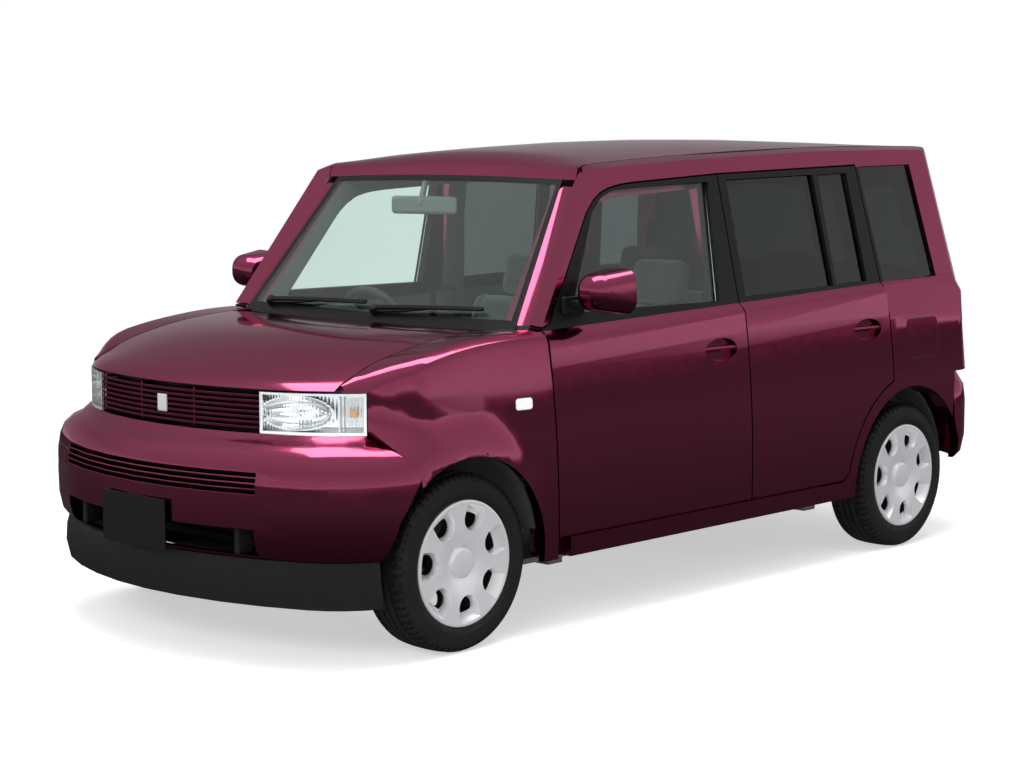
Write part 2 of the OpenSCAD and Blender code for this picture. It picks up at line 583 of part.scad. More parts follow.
// Outline of a headlamp seen from above, between its inner end and its wrapped corner.
function lamp_front(i) = concat(arc(nose_cx, 0, nose_r - i, lamp_start, nose_turn, 1),
    arc(corner_c[0], corner_c[1], corner_r - i, nose_turn + 4, 49.5, 7));
module lamp_shell(i0, i1) polygon(concat(lamp_front(i0), back(lamp_front(i1))));
module headlamps() color(silver) left_right() translate([0, 0, lamp_z]) difference() {
    linear_extrude(lamp_h) lamp_shell(7, 96);
    translate([0, 0, 8]) linear_extrude(lamp_h - 16) offset(delta = -8) lamp_shell(-20, 80);
}
module headlamp_lenses() color(glass_clear) left_right() translate([0, 0, lamp_z]) linear_extrude(lamp_h)
    lamp_shell(0, 6.7);

// Stations round the rear bumper.
rear_path_r = [3000, 260];
function rear_path() = let (r = rear_path_r[0], q = rear_path_r[1], a = asin((hw + 3 - q) / (r - q)),
        c = r - q) concat(
    [for (t = [0:0.34:1.02]) let (b = 180 - a * min(1, t)) [x_rear + r + r * cos(b), r * sin(b), b]],
    [for (t = [1:6]) let (b = 180 - a - (92 - a) * t / 6)
        [x_rear + r + c * cos(180 - a) + q * cos(b), c * sin(180 - a) + q * sin(b), b]]);
rear_skin = [[-40, 322], [-14, 350], [0, 420], [0, 560], [-8, 624], [-32, 664], [-48, 693.7], [-128, 693.7],
    [-128, 681], [-72, 672], [-50, 630], [-42, 560], [-42, 420], [-62, 322]];
module rear_bumper() color(paint) difference() {
    swept(both(rear_path()), rear_skin);
    left_right() side_prism(hw - 545) polygon([[xr - rear_arch_r - 8, 100], [xr - rear_arch_r - 8, 340],
        [xr - rear_arch_r + 60, 500], [xr - rear_arch_r + 60, 900], [xr + 500, 900], [xr + 500, 100]]);
}

module tail_lamps() color([0.75, 0.2, 0.2]) left_right() intersection() {
    difference() {
        tail_form();
        tail_form(60);
    }
    translate([xr - 700, hw - 140, 703]) cube([329.7, 400, 184]);
}

module cowl() color(black) difference() {
    translate([xf - 420, -bonnet_half - 4, 970])
        cube([bonnet_rear_x - 14 - xf + 420, 2 * bonnet_half + 8, 30]);
    screen_form(-0.3);
    translate([xf - 500, -hw, 960]) cube([190, 2 * hw, 22]);
    left_right() translate([bonnet_axis[0] - 17, bonnet_half - 84, 900]) cube([90, 64, 200]);
}

driver_y = 0.426 * hw;
module dashboard() color(black) {
    difference() {
        translate([xf - 620, 197 - hw, 640]) cube([270, 2 * hw - 394, 330]);
        translate([xf - 620, -hw, 640]) rotate([0, 52, 0]) translate([-400, 0, -300])
            cube([400, 2 * hw, 400]);
        translate([xf - 700, 60, 720]) cube([160, 420, 90]);
    }
    // Instrument hood ahead of the driver on the right, and the column.
    translate([xf - 560, -driver_y, 962]) rotate([0, 90, 0]) cylinder(r = 70, h = 150);
    translate([xf - 610, -driver_y, 862]) rotate([0, -64, 0]) cylinder(r = 30, h = 106);
    translate([xf - 360, 245 - hw, 600]) cube([20 - 0.3, 2 * hw - 490, 50]);
}

// One seat or bench of width w: cushion, backrest, headrests and base.
module seat(w, y) translate([0, y, 0]) {
    translate([-250, -w / 2, 150]) rotate([0, -6, 0]) cube([500, w, 150]);
    translate([-240, -w / 2, 180]) rotate([0, -18, 0]) cube([130, w, 620]);
    for (s = w > 700 ? [-w / 3, w / 3] : [0])
        translate([-418, s - 130, 740]) rotate([0, -14, 0]) cube([90, 260, 200]);
    translate([-200, -w / 2 + 40, 0]) cube([360, w - 80, 200]);
}
module front_seats() color(cloth) for (y = [-1, 1])
    translate([xr + 0.552 * wheelbase, 0, floor_top]) seat(0.58 * hw, y * 0.4024 * hw);
module rear_bench() color(cloth) translate([xr + 0.248 * wheelbase, 0, floor_top]) seat(1.361 * hw, 0);

module engine() color(steel) translate([xf - 130, 30 - rail_y, 330]) cube([420, 2 * rail_y - 80, 480]);

module front_subframe() color(black) {
    translate([xf - 160, -rail_y, 180]) cube([260, 2 * rail_y, 60]);
    left_right() {
        translate([xf - 60, rail_y - 10, 196]) cube([70, kingpin_y - rail_y - 12, 28]);
        translate([xf - 120, rail_y - 30, 200]) cube([60, 40, 180]);
    }
    for (y = [-rail_y, rail_y - 60]) translate([xf - 100, y, 236]) cube([120, 60, 94]);
}

// Upright with its spindle, lower ball and the strut above it, on the steering axis.
module knuckle() color(steel) difference() {
    union() {
        at_strut() {
            translate([0, 0, -70]) cylinder(r = 22, h = 190);
            translate([0, 0, 110]) cylinder(r = 26, h = 230);
            translate([0, 0, 330]) cylinder(r = 11, h = 280);
            translate([0, 0, strut_top - 14.3]) sphere(r = 14);
            translate([0, 0, 312]) cylinder(r = 60, h = 12);
            for (i = [0:4]) translate([0, 0, 336 + i * 40]) rotate_extrude() translate([48, 0])
                circle(r = 7, $fn = 16);
            translate([0, 0, 512]) cylinder(r = 58, h = 12);
            for (a = [0:72:359]) rotate([0, 0, a]) translate([48, 0, 320]) cylinder(r = 4, h = 196);
        }
        translate([xf, kingpin_y - 10, axle_z]) rotate([-90, 0, 0]) cylinder(r = 45, h = 30);
        translate([xf, kingpin_y, axle_z]) rotate([-90, 0, 0])
            cylinder(r = spindle_r, h = track / 2 + 32 - kingpin_y);
    }
}
module knuckle_left() knuckle();
module knuckle_right() mirror([0, 1, 0]) knuckle();

module rear_axle() color(black) {
    arm = track / 2 - 200;
    translate([xr + 100, -arm, 300]) rotate([-90, 0, 0]) cylinder(r = 44, h = 2 * arm);
    left_right() {
        translate([xr - 40, arm, 262]) cube([341.7, 50, 60]);
        translate([xr, arm + 40, axle_z]) rotate([-90, 0, 0]) cylinder(r = 45, h = 56);
        translate([xr, arm + 80, axle_z]) rotate([-90, 0, 0]) cylinder(r = spindle_r, h = 152);
        translate([xr - 20, arm + 25, 290]) cylinder(r = 24, h = 249.7);
    }
}

module exhaust() color(silver) {
    translate([xr - 340, -330, 320]) rotate([0, 90, 0]) scale([1, 1.5, 1])
        cylinder(r = 75, h = 300, $fn = 120);
    translate([xr - 520, -380, 292]) rotate([0, 90, 0]) cylinder(r = 22, h = 200, $fn = 96);
    for (x = [xr - 300, xr - 120]) translate([x, -350, 380]) cube([30, 40, 159.7]);
}

module fuel_tank() color(black) translate([xr + 330, -340, 150]) cube([440, 800, 77.7]);

module hood() color(paint) {
    difference() {
        loft([for (t = [0:14]) [for (s = [0, 1]) for (k = s == 0 ? [-8:8] : [8:-1:-8])
            let (y = k * bonnet_half / 8, u = 1 - pow(1 - t / 14, 1.6),
                x = bonnet_rear_x + (bonnet_edge(y) - bonnet_rear_x) * u)
            [x, y, bonnet_h(x, y) - s * (22 - 19 * pow(u, 6))]]], true);
    }
    left_right() difference() {
        union() {
            translate([bonnet_axis[0], bonnet_half - 65, bonnet_axis[1]]) rotate([-90, 0, 0])
                cylinder(r = 10, h = 26);
            translate([bonnet_axis[0], bonnet_half - 65, bonnet_axis[1] - 10]) cube([110, 26, 14]);
            translate([bonnet_axis[0] + 60, bonnet_half - 65, bonnet_axis[1] - 10]) cube([50, 26, 40]);
        }
        translate([bonnet_axis[0], bonnet_half - 76, bonnet_axis[1]]) rotate([-90, 0, 0])
            cylinder(r = 5 + fit, h = 50);
    }
}

module door_front_left() door_front();
module door_front_right() mirror([0, 1, 0]) door_front();
module door_rear_left() door_rear();
module door_rear_right() mirror([0, 1, 0]) door_rear();

module front_glass() color(glass_clear) intersection() {
    side_slab(xf - 400, post_x + 22, 14, 19);
    side_prism() front_glass_2d();
}
module rear_glass() color(glass_dark) intersection() {
    side_slab(post_x + 42, xr + 200, 14, 19);
    side_prism() {
        rear_glass_2d();
        rear_pane_2d();
    }
}
module door_front_glass_left() front_glass();
module door_front_glass_right() mirror([0, 1, 0]) front_glass();
module door_rear_glass_left() rear_glass();
module door_rear_glass_right() mirror([0, 1, 0]) rear_glass();

// Corners of a mirror's shell: from the front axle, outward from the doors' widest line, height.
mirror_corners = [[-560, 0, 1098], [-560, 140, 1104], [-560, 135, 1186], [-560, 5, 1180], [-500, 25, 1110],
    [-500, 110, 1114], [-500, 105, 1168], [-500, 27, 1165]];
module mirror_shell() color(paint) {
    hull() for (p = mirror_corners) translate([xf + p[0], hw + p[1], p[2]]) sphere(r = 14, $fn = 16);
    translate([xf - 560, plane_y(xf - 540, 1082) + 0.5, 1082]) cube([50, 110, 22]);
}
module mirror_left() mirror_shell();
module mirror_right() mirror([0, 1, 0]) mirror_shell();

module rear_view() translate([xr - 1000, 0, 0]) rotate([90, 0, 90]) linear_extrude(900) children();
module tailgate_2d()
    let (half = [[hw - 147, 699], [hw - 141, 900], [hw - 155, belt_z], [roof_half - 40, up(1608)]])
    polygon(concat(half, back([for (p = half) [-p[0], p[1]]])));
module tailgate_glass_2d() let (half = [[hw - 245, up(1110)], [roof_half - 106, up(1520)]])
    polygon(concat(half, back([for (p = half) [-p[0], p[1]]])));

module tailgate() color(paint) {
    difference() {
        intersection() {
            difference() {
                tail_form();
                tail_form(50);
            }
            rear_view() tailgate_2d();
        }
        rear_view() tailgate_glass_2d();
        // Rounded top edge that turns under the roof.
        difference() {
            translate([tailgate_axis[0], -hw, tailgate_axis[1] - 19]) cube([300, 2 * hw, 200]);
            translate([tailgate_axis[0], -hw, tailgate_axis[1]]) rotate([-90, 0, 0])
                cylinder(r = 19, h = 2 * hw);
        }
        for (s = [-1, 1]) translate([tailgate_axis[0] - 17, s * 420 - 26, tailgate_axis[1] - 17])
            cube([80, 52, 80]);
    }
    for (s = [-1, 1]) translate([tailgate_axis[0], s * 420, tailgate_axis[1]]) difference() {
        union() {
            translate([0, -12, 0]) rotate([-90, 0, 0]) cylinder(r = 9, h = 24);
            translate([-34, -12, -9]) cube([34, 24, 14]);
        }
        translate([0, -20, 0]) rotate([-90, 0, 0]) cylinder(r = 5 + fit, h = 40);
    }
}

module tailgate_glass() color(glass_dark) intersection() {
    difference() {
        tail_form(10);
        tail_form(15);
    }
    rear_view() tailgate_glass_2d();
}

module steering_wheel() color(black)
        translate([xf - 610, -driver_y, 862]) rotate([0, -64, 0]) translate([0, 0, 106.3]) {
    rotate_extrude() translate([180, 20]) circle(r = 15);
    cylinder(r = 62, h = 34);
    for (a = [0, 120, 240]) rotate([0, 0, a + 90]) translate([40, -16, 10]) cube([130, 32, 14]);
}

// Scoop of a wheel cover: a straight way through the disc that widens to the cover's face and runs
// out to the rim's lip.
scoop_count = 7;
scoop_at = 148;
scoop_r = 33;
scoop_flare = 12;
module scoop() {
    section = [[-scoop_r, 58], [scoop_r, 58], [scoop_r + scoop_flare, 92], [-scoop_r - scoop_flare, 92]];
    translate([scoop_at, 0, 0]) intersection() {
        cylinder(r = scoop_r, h = 60);
        translate([-scoop_at, 0, 0]) cylinder(r = rim_d / 2 - 25, h = 60);
    }
    intersection() {
        translate([0, 0, 58]) cylinder(r1 = rim_d / 2 - 18, r2 = rim_d / 2 + 4, h = 34);
        union() {
            translate([scoop_at, 0, 58]) cylinder(r1 = scoop_r, r2 = scoop_r + scoop_flare, h = 34);
            translate([scoop_at, 0, 0]) rotate([90, 0, 90]) linear_extrude(80) polygon(section);
        }
    }
}

// Rim with its disc and hub, and the cover with its scoops.
// Columns: radius, offset outward from the wheel's middle.
function wheel_section(r) = [[spindle_r + fit, -40], [spindle_r + 26, -40], [spindle_r + 34, 20],
    [r - 40, 34], [r - 22, 10], [r - 22, -72], [r, -88], [r + 12, -88], [r + 2, -74], [r - 12, -60],
    [r - 12, 50], [r + 2, 74], [r + 15, 84], [r + 13.5, 88], [r + 8, 89.5], [r + 3, 88],
    [r - 30, 86], [120, 84], [84, 79], [54, 73],
    [49.5, 72], [48.5, 78], [42, 81], [0, 82.5], [0, 60], [60, 60], [60, 44], [spindle_r + fit, 44]];
module wheel(y) color(silver) translate([0, y, axle_z]) rotate([-90, 0, 0]) difference() {
    rotate_extrude() polygon(wheel_section(rim_d / 2));
    for (i = [0:scoop_count - 1]) rotate([0, 0, i * 360 / scoop_count - 5]) scoop();
}

// Half of a tyre's section, from the tread's middle round to the bead.
function tyre_half(r, w) = [[tyre_r, 0], [tyre_r - 2, w * 0.7], [tyre_r - 8, w * 0.82],
    [tyre_r - 30, w * 0.95], [r + 50, w], [r + 18, w * 0.98], [r + 15.4, 84],
    [r + 2.4, 73.7], [r - 11.6, 49.7]];
function tyre_back(r, w) = [[r - 11.6, -59.7], [r + 2.4, -73], [r + 15.4, -83], [r + 18, w * -0.96],
    [r + 50, -w], [tyre_r - 30, w * -0.95], [tyre_r - 8, w * -0.82], [tyre_r - 2, w * -0.7]];
module tyre(y) color(black) translate([0, y, axle_z]) rotate([-90, 0, 0])
    rotate_extrude() polygon(concat(tyre_half(rim_d / 2, tyre_w / 2), tyre_back(rim_d / 2, tyre_w / 2)));
module wheel_front_left() translate([xf, 0, 0]) wheel(track / 2);
module wheel_front_right() mirror([0, 1, 0]) wheel_front_left();
module wheel_rear_left() translate([xr, 0, 0]) wheel(track / 2);
module wheel_rear_right() mirror([0, 1, 0]) wheel_rear_left();
module tyre_front_left() translate([xf, 0, 0]) tyre(track / 2);
module tyre_front_right() mirror([0, 1, 0]) tyre_front_left();
module tyre_rear_left() translate([xr, 0, 0]) tyre(track / 2);
module tyre_rear_right() mirror([0, 1, 0]) tyre_rear_left();

floor_pan();
tunnel();
rear_floor();
front_frame();
body_side_left();
body_side_right();
roof();
windscreen();
quarter_glass();
fender_left();
fender_right();
front_bumper();
front_lip();
grille();
headlamps();
headlamp_lenses();
rear_bumper();
tail_lamps();
cowl();
dashboard();
front_seats();
rear_bench();
engine();
front_subframe();
rear_axle();
exhaust();
fuel_tank();
hood();
door_front_left();
door_front_right();
door_rear_left();
door_rear_right();
door_front_glass_left();
door_front_glass_right();
door_rear_glass_left();
door_rear_glass_right();
mirror_left();
mirror_right();
tailgate();
tailgate_glass();
steering_wheel();
knuckle_left();
knuckle_right();
wheel_front_left();
wheel_front_right();
wheel_rear_left();
wheel_rear_right();
tyre_front_left();
tyre_front_right();
tyre_rear_left();
tyre_rear_right();
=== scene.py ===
"""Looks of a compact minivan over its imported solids: paint, glass, lamps, wheels, cabin and stage."""
import json
import math

import bmesh
import bpy
from bpy.props import FloatProperty, FloatVectorProperty, IntProperty, PointerProperty
from mathutils import Matrix, Vector
from mathutils.bvhtree import BVHTree

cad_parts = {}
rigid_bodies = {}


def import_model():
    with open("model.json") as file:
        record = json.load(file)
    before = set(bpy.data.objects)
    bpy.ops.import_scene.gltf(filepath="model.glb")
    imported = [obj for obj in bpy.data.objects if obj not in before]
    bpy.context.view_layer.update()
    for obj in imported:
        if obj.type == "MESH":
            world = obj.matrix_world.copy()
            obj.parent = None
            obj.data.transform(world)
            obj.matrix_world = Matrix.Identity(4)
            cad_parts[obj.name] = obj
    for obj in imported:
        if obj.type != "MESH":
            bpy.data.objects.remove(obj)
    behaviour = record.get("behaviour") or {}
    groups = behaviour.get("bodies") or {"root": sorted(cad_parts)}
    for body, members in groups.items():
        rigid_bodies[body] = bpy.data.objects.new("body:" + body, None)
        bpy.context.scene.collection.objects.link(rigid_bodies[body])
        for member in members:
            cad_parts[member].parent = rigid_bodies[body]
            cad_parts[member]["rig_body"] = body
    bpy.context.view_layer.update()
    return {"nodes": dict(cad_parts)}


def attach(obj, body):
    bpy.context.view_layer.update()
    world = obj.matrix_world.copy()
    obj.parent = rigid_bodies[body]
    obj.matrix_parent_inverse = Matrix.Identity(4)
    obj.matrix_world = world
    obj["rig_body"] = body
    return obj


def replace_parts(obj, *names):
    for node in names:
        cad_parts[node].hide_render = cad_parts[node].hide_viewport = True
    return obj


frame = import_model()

bl_info = {
    "name": "Compact minivan looks",
    "version": (1, 0, 0),
    "blender": (4, 5, 0),
    "location": "3D View > Sidebar > Minivan",
    "description": "Panels, glass, lamps, wheels and cabin of a compact minivan over its solids",
    "category": "Object",
}

NODES = frame["nodes"]
AXLE_FRONT, AXLE_REAR, WHEELBASE = 1.2205, -1.2795, 2.5
HALF_WIDTH, HALF_TRACK, TYRE_RADIUS = 0.845, 0.720, 0.292
SCUTTLE_Z, SCREEN_RISE = 1.026, 0.480
SCREEN_HALF, SCREEN_TAPER = 0.694, 0.115
PLATE_Z = 0.427
# The dark pillar strip behind the rear door: its front line's foot, lean, width and top.
PILLAR_X, PILLAR_Z, PILLAR_LEAN = AXLE_REAR + 0.158, 1.080, 0.1504
PILLAR_WIDTH, PILLAR_TOP = 0.060, 1.537
# The camera, from the photograph: degrees, metres and millimetres of lens.
CAMERA_PLACE, CAMERA_LENS = (5.9393, 5.5526, 1.6278), 74.82
CAMERA_TURN, CAMERA_TILT, CAMERA_ROLL = 133.86, 6.47, -0.11
SIDES = (("left", 1), ("right", -1))
FINISHES = {}


class MinivanLooks(bpy.types.PropertyGroup):
    """Sizes and colours of the looks"""

    paint_dark: FloatVectorProperty(
        name="Paint shade", description="Paint colour between the flakes", subtype="COLOR", size=4,
        default=(0.255, 0.027, 0.080, 1.0))
    paint_light: FloatVectorProperty(
        name="Paint flake", description="Paint colour on the flakes", subtype="COLOR", size=4,
        default=(0.325, 0.038, 0.104, 1.0))
    edge_round: FloatProperty(
        name="Panel edge", description="Rounding of the panels' edges", unit="LENGTH", default=0.0025)
    tread_steps: IntProperty(
        name="Tread blocks", description="Steps round a tyre, every second one grooved", default=132)
    groove_depth: FloatProperty(
        name="Tread groove", description="Depth of the grooves in the tread", unit="LENGTH", default=0.006)
    pad_voxel: FloatProperty(
        name="Seat mesh", description="Mesh size of the seats' cloth while it swells", unit="LENGTH",
        default=0.013)
    glass_border: FloatProperty(
        name="Glass border", description="Width of the windscreen's dark border", unit="LENGTH",
        default=0.022)
    seat_swell: FloatProperty(
        name="Seat swell", description="Most that a seat's cloth moves out over its foam", unit="LENGTH",
        default=0.016)


# Node groups and finishes

def put(tree, kind, **values):
    """A new node with its sockets or settings given by name."""
    item = tree.nodes.new(kind)
    for key, value in values.items():
        if hasattr(item, key):
            setattr(item, key, value)
        else:
            item.inputs[key.replace("_", " ")].default_value = value
    return item


def effect(name, inputs, output):
    """An empty node group with float inputs and one float output, and its Object coordinates."""
    tree = bpy.data.node_groups.new(name, "ShaderNodeTree")
    for label, value in inputs:
        socket = tree.interface.new_socket(label, in_out="INPUT", socket_type="NodeSocketFloat")
        socket.default_value = value
    tree.interface.new_socket(output, in_out="OUTPUT", socket_type="NodeSocketFloat")
    return tree, put(tree, "NodeGroupInput"), put(tree, "NodeGroupOutput"), put(tree, "ShaderNodeTexCoord")


def effect_speckle():
    """Even fine noise between two values."""
    tree, inp, out, place = effect("Speckle", [("Scale", 300.0), ("Low", 0.0), ("High", 1.0)], "Value")
    noise = put(tree, "ShaderNodeTexNoise", Detail=3.0)
    spread = put(tree, "ShaderNodeMapRange")
    spread.inputs["From Min"].default_value = 0.32
    spread.inputs["From Max"].default_value = 0.68
    tree.links.new(place.outputs["Object"], noise.inputs["Vector"])
    tree.links.new(inp.outputs["Scale"], noise.inputs["Scale"])
    tree.links.new(noise.outputs["Fac"], spread.inputs["Value"])
    tree.links.new(inp.outputs["Low"], spread.inputs["To Min"])
    tree.links.new(inp.outputs["High"], spread.inputs["To Max"])
    tree.links.new(spread.outputs["Result"], out.inputs["Value"])
    return tree


def effect_grain():
    """Pebbled grain of a moulding."""
    tree, inp, out, place = effect("Moulded grain", [("Scale", 700.0)], "Height")
    cells = put(tree, "ShaderNodeTexVoronoi", feature="SMOOTH_F1")
    tree.links.new(place.outputs["Object"], cells.inputs["Vector"])
    tree.links.new(inp.outputs["Scale"], cells.inputs["Scale"])
    tree.links.new(cells.outputs["Distance"], out.inputs["Height"])
    return tree


def effect_dust():
    """Road dust: most near the ground, broken by noise."""
    tree, inp, out, place = effect("Road dust", [("Reach", 0.5), ("Amount", 0.3)], "Mask")
    split = put(tree, "ShaderNodeSeparateXYZ")
    fall = put(tree, "ShaderNodeMapRange")
    fall.inputs["To Min"].default_value = 1.0
    fall.inputs["To Max"].default_value = 0.0
    noise = put(tree, "ShaderNodeTexNoise", Scale=9.0, Detail=6.0)
    product = put(tree, "ShaderNodeMath", operation="MULTIPLY")
    amount = put(tree, "ShaderNodeMath", operation="MULTIPLY")
    tree.links.new(place.outputs["Object"], split.inputs["Vector"])
    tree.links.new(place.outputs["Object"], noise.inputs["Vector"])
    tree.links.new(split.outputs["Z"], fall.inputs["Value"])
    tree.links.new(inp.outputs["Reach"], fall.inputs["From Max"])
    tree.links.new(fall.outputs["Result"], product.inputs[0])
    tree.links.new(noise.outputs["Fac"], product.inputs[1])
    tree.links.new(product.outputs[0], amount.inputs[0])
    tree.links.new(inp.outputs["Amount"], amount.inputs[1])
    tree.links.new(amount.outputs[0], out.inputs["Mask"])
    return tree


def effect_weave():
    """Over and under of a woven cloth."""
    tree, inp, out, place = effect("Cloth weave", [("Scale", 260.0)], "Height")
    waves = []
    for axis in ("X", "DIAGONAL"):
        wave = put(tree, "ShaderNodeTexWave", bands_direction=axis)
        wave.inputs["Distortion"].default_value = 0.6
        tree.links.new(place.outputs["Object"], wave.inputs["Vector"])
        tree.links.new(inp.outputs["Scale"], wave.inputs["Scale"])
        waves.append(wave)
    top = put(tree, "ShaderNodeMath", operation="MAXIMUM")
    tree.links.new(waves[0].outputs["Fac"], top.inputs[0])
    tree.links.new(waves[1].outputs["Fac"], top.inputs[1])
    tree.links.new(top.outputs[0], out.inputs["Height"])
    return tree


def use(tree, group, **values):
    """One placed node group with its own values."""
    item = put(tree, "ShaderNodeGroup")
    item.node_tree = bpy.data.node_groups[group]
    for key, value in values.items():
        item.inputs[key].default_value = value
    return item


def finish(name, low, high, rough=(0.4, 0.5), scale=300.0, metallic=0.0, dust=0.0, bump=None, **plain):
    """A finish whose colour runs between two shades on a speckle, with its own roughness, dust and bump."""
    material = bpy.data.materials.new(name)
    material.use_nodes = True
    tree = material.node_tree
    shader = tree.nodes["Principled BSDF"]
    shader.inputs["Metallic"].default_value = metallic
    for key, value in plain.items():
        shader.inputs[key.replace("_", " ")].default_value = value
    shades = use(tree, "Speckle", Scale=scale)
    mix = put(tree, "ShaderNodeMix", data_type="RGBA")
    mix.inputs["A"].default_value = tuple(low[:3]) + (1.0,)
    mix.inputs["B"].default_value = tuple(high[:3]) + (1.0,)
    tree.links.new(shades.outputs["Value"], mix.inputs["Factor"])
    colour = mix.outputs["Result"]
    if dust:
        grime = use(tree, "Road dust", Amount=dust)
        dusted = put(tree, "ShaderNodeMix", data_type="RGBA")
        dusted.inputs["B"].default_value = (0.30, 0.27, 0.24, 1.0)
        tree.links.new(grime.outputs["Mask"], dusted.inputs["Factor"])
        tree.links.new(colour, dusted.inputs["A"])
        colour = dusted.outputs["Result"]
    tree.links.new(colour, shader.inputs["Base Color"])
    gloss = use(tree, "Speckle", Scale=24.0, Low=rough[0], High=rough[1])
    tree.links.new(gloss.outputs["Value"], shader.inputs["Roughness"])
    if bump:
        group, size, strength, distance = bump
        relief = use(tree, group, Scale=size)
        height = put(tree, "ShaderNodeBump", Strength=strength, Distance=distance)
        tree.links.new(relief.outputs[0], height.inputs["Height"])
        tree.links.new(height.outputs["Normal"], shader.inputs["Normal"])
    FINISHES[name] = material
    return material


def glass(name, tint, ribs=None):
    """Clear or tinted glass that lets the light through, with optional moulded ribs."""
    material = bpy.data.materials.new(name)
    material.use_nodes = True
    tree = material.node_tree
    shader = tree.nodes["Principled BSDF"]
    shader.inputs["Transmission Weight"].default_value = 1.0
    shader.inputs["Roughness"].default_value = 0.0
    shader.inputs["IOR"].default_value = 1.45
    smear = use(tree, "Speckle", Scale=3.0, Low=0.92, High=1.0)
    mix = put(tree, "ShaderNodeMix", data_type="RGBA")
    mix.inputs["A"].default_value = tuple(c * 0.9 for c in tint) + (1.0,)
    mix.inputs["B"].default_value = tuple(tint) + (1.0,)
    tree.links.new(smear.outputs["Value"], mix.inputs["Factor"])
    tree.links.new(mix.outputs["Result"], shader.inputs["Base Color"])
    if ribs:
        place = put(tree, "ShaderNodeTexCoord")
        wave = put(tree, "ShaderNodeTexWave", bands_direction="Y", wave_profile="SIN", Scale=ribs[0])
        height = put(tree, "ShaderNodeBump", Strength=ribs[1], Distance=0.002)
        tree.links.new(place.outputs["Object"], wave.inputs["Vector"])
        tree.links.new(wave.outputs["Fac"], height.inputs["Height"])
        tree.links.new(height.outputs["Normal"], shader.inputs["Normal"])
    path = put(tree, "ShaderNodeLightPath")
    through = put(tree, "ShaderNodeBsdfTransparent", Color=tuple(c ** 1.6 for c in tint) + (1.0,))
    either = put(tree, "ShaderNodeMixShader")
    out = tree.nodes["Material Output"]
    tree.links.new(path.outputs["Is Shadow Ray"], either.inputs["Fac"])
    tree.links.new(shader.outputs["BSDF"], either.inputs[1])
    tree.links.new(through.outputs["BSDF"], either.inputs[2])
    tree.links.new(either.outputs["Shader"], out.inputs["Surface"])
    FINISHES[name] = material
    return material


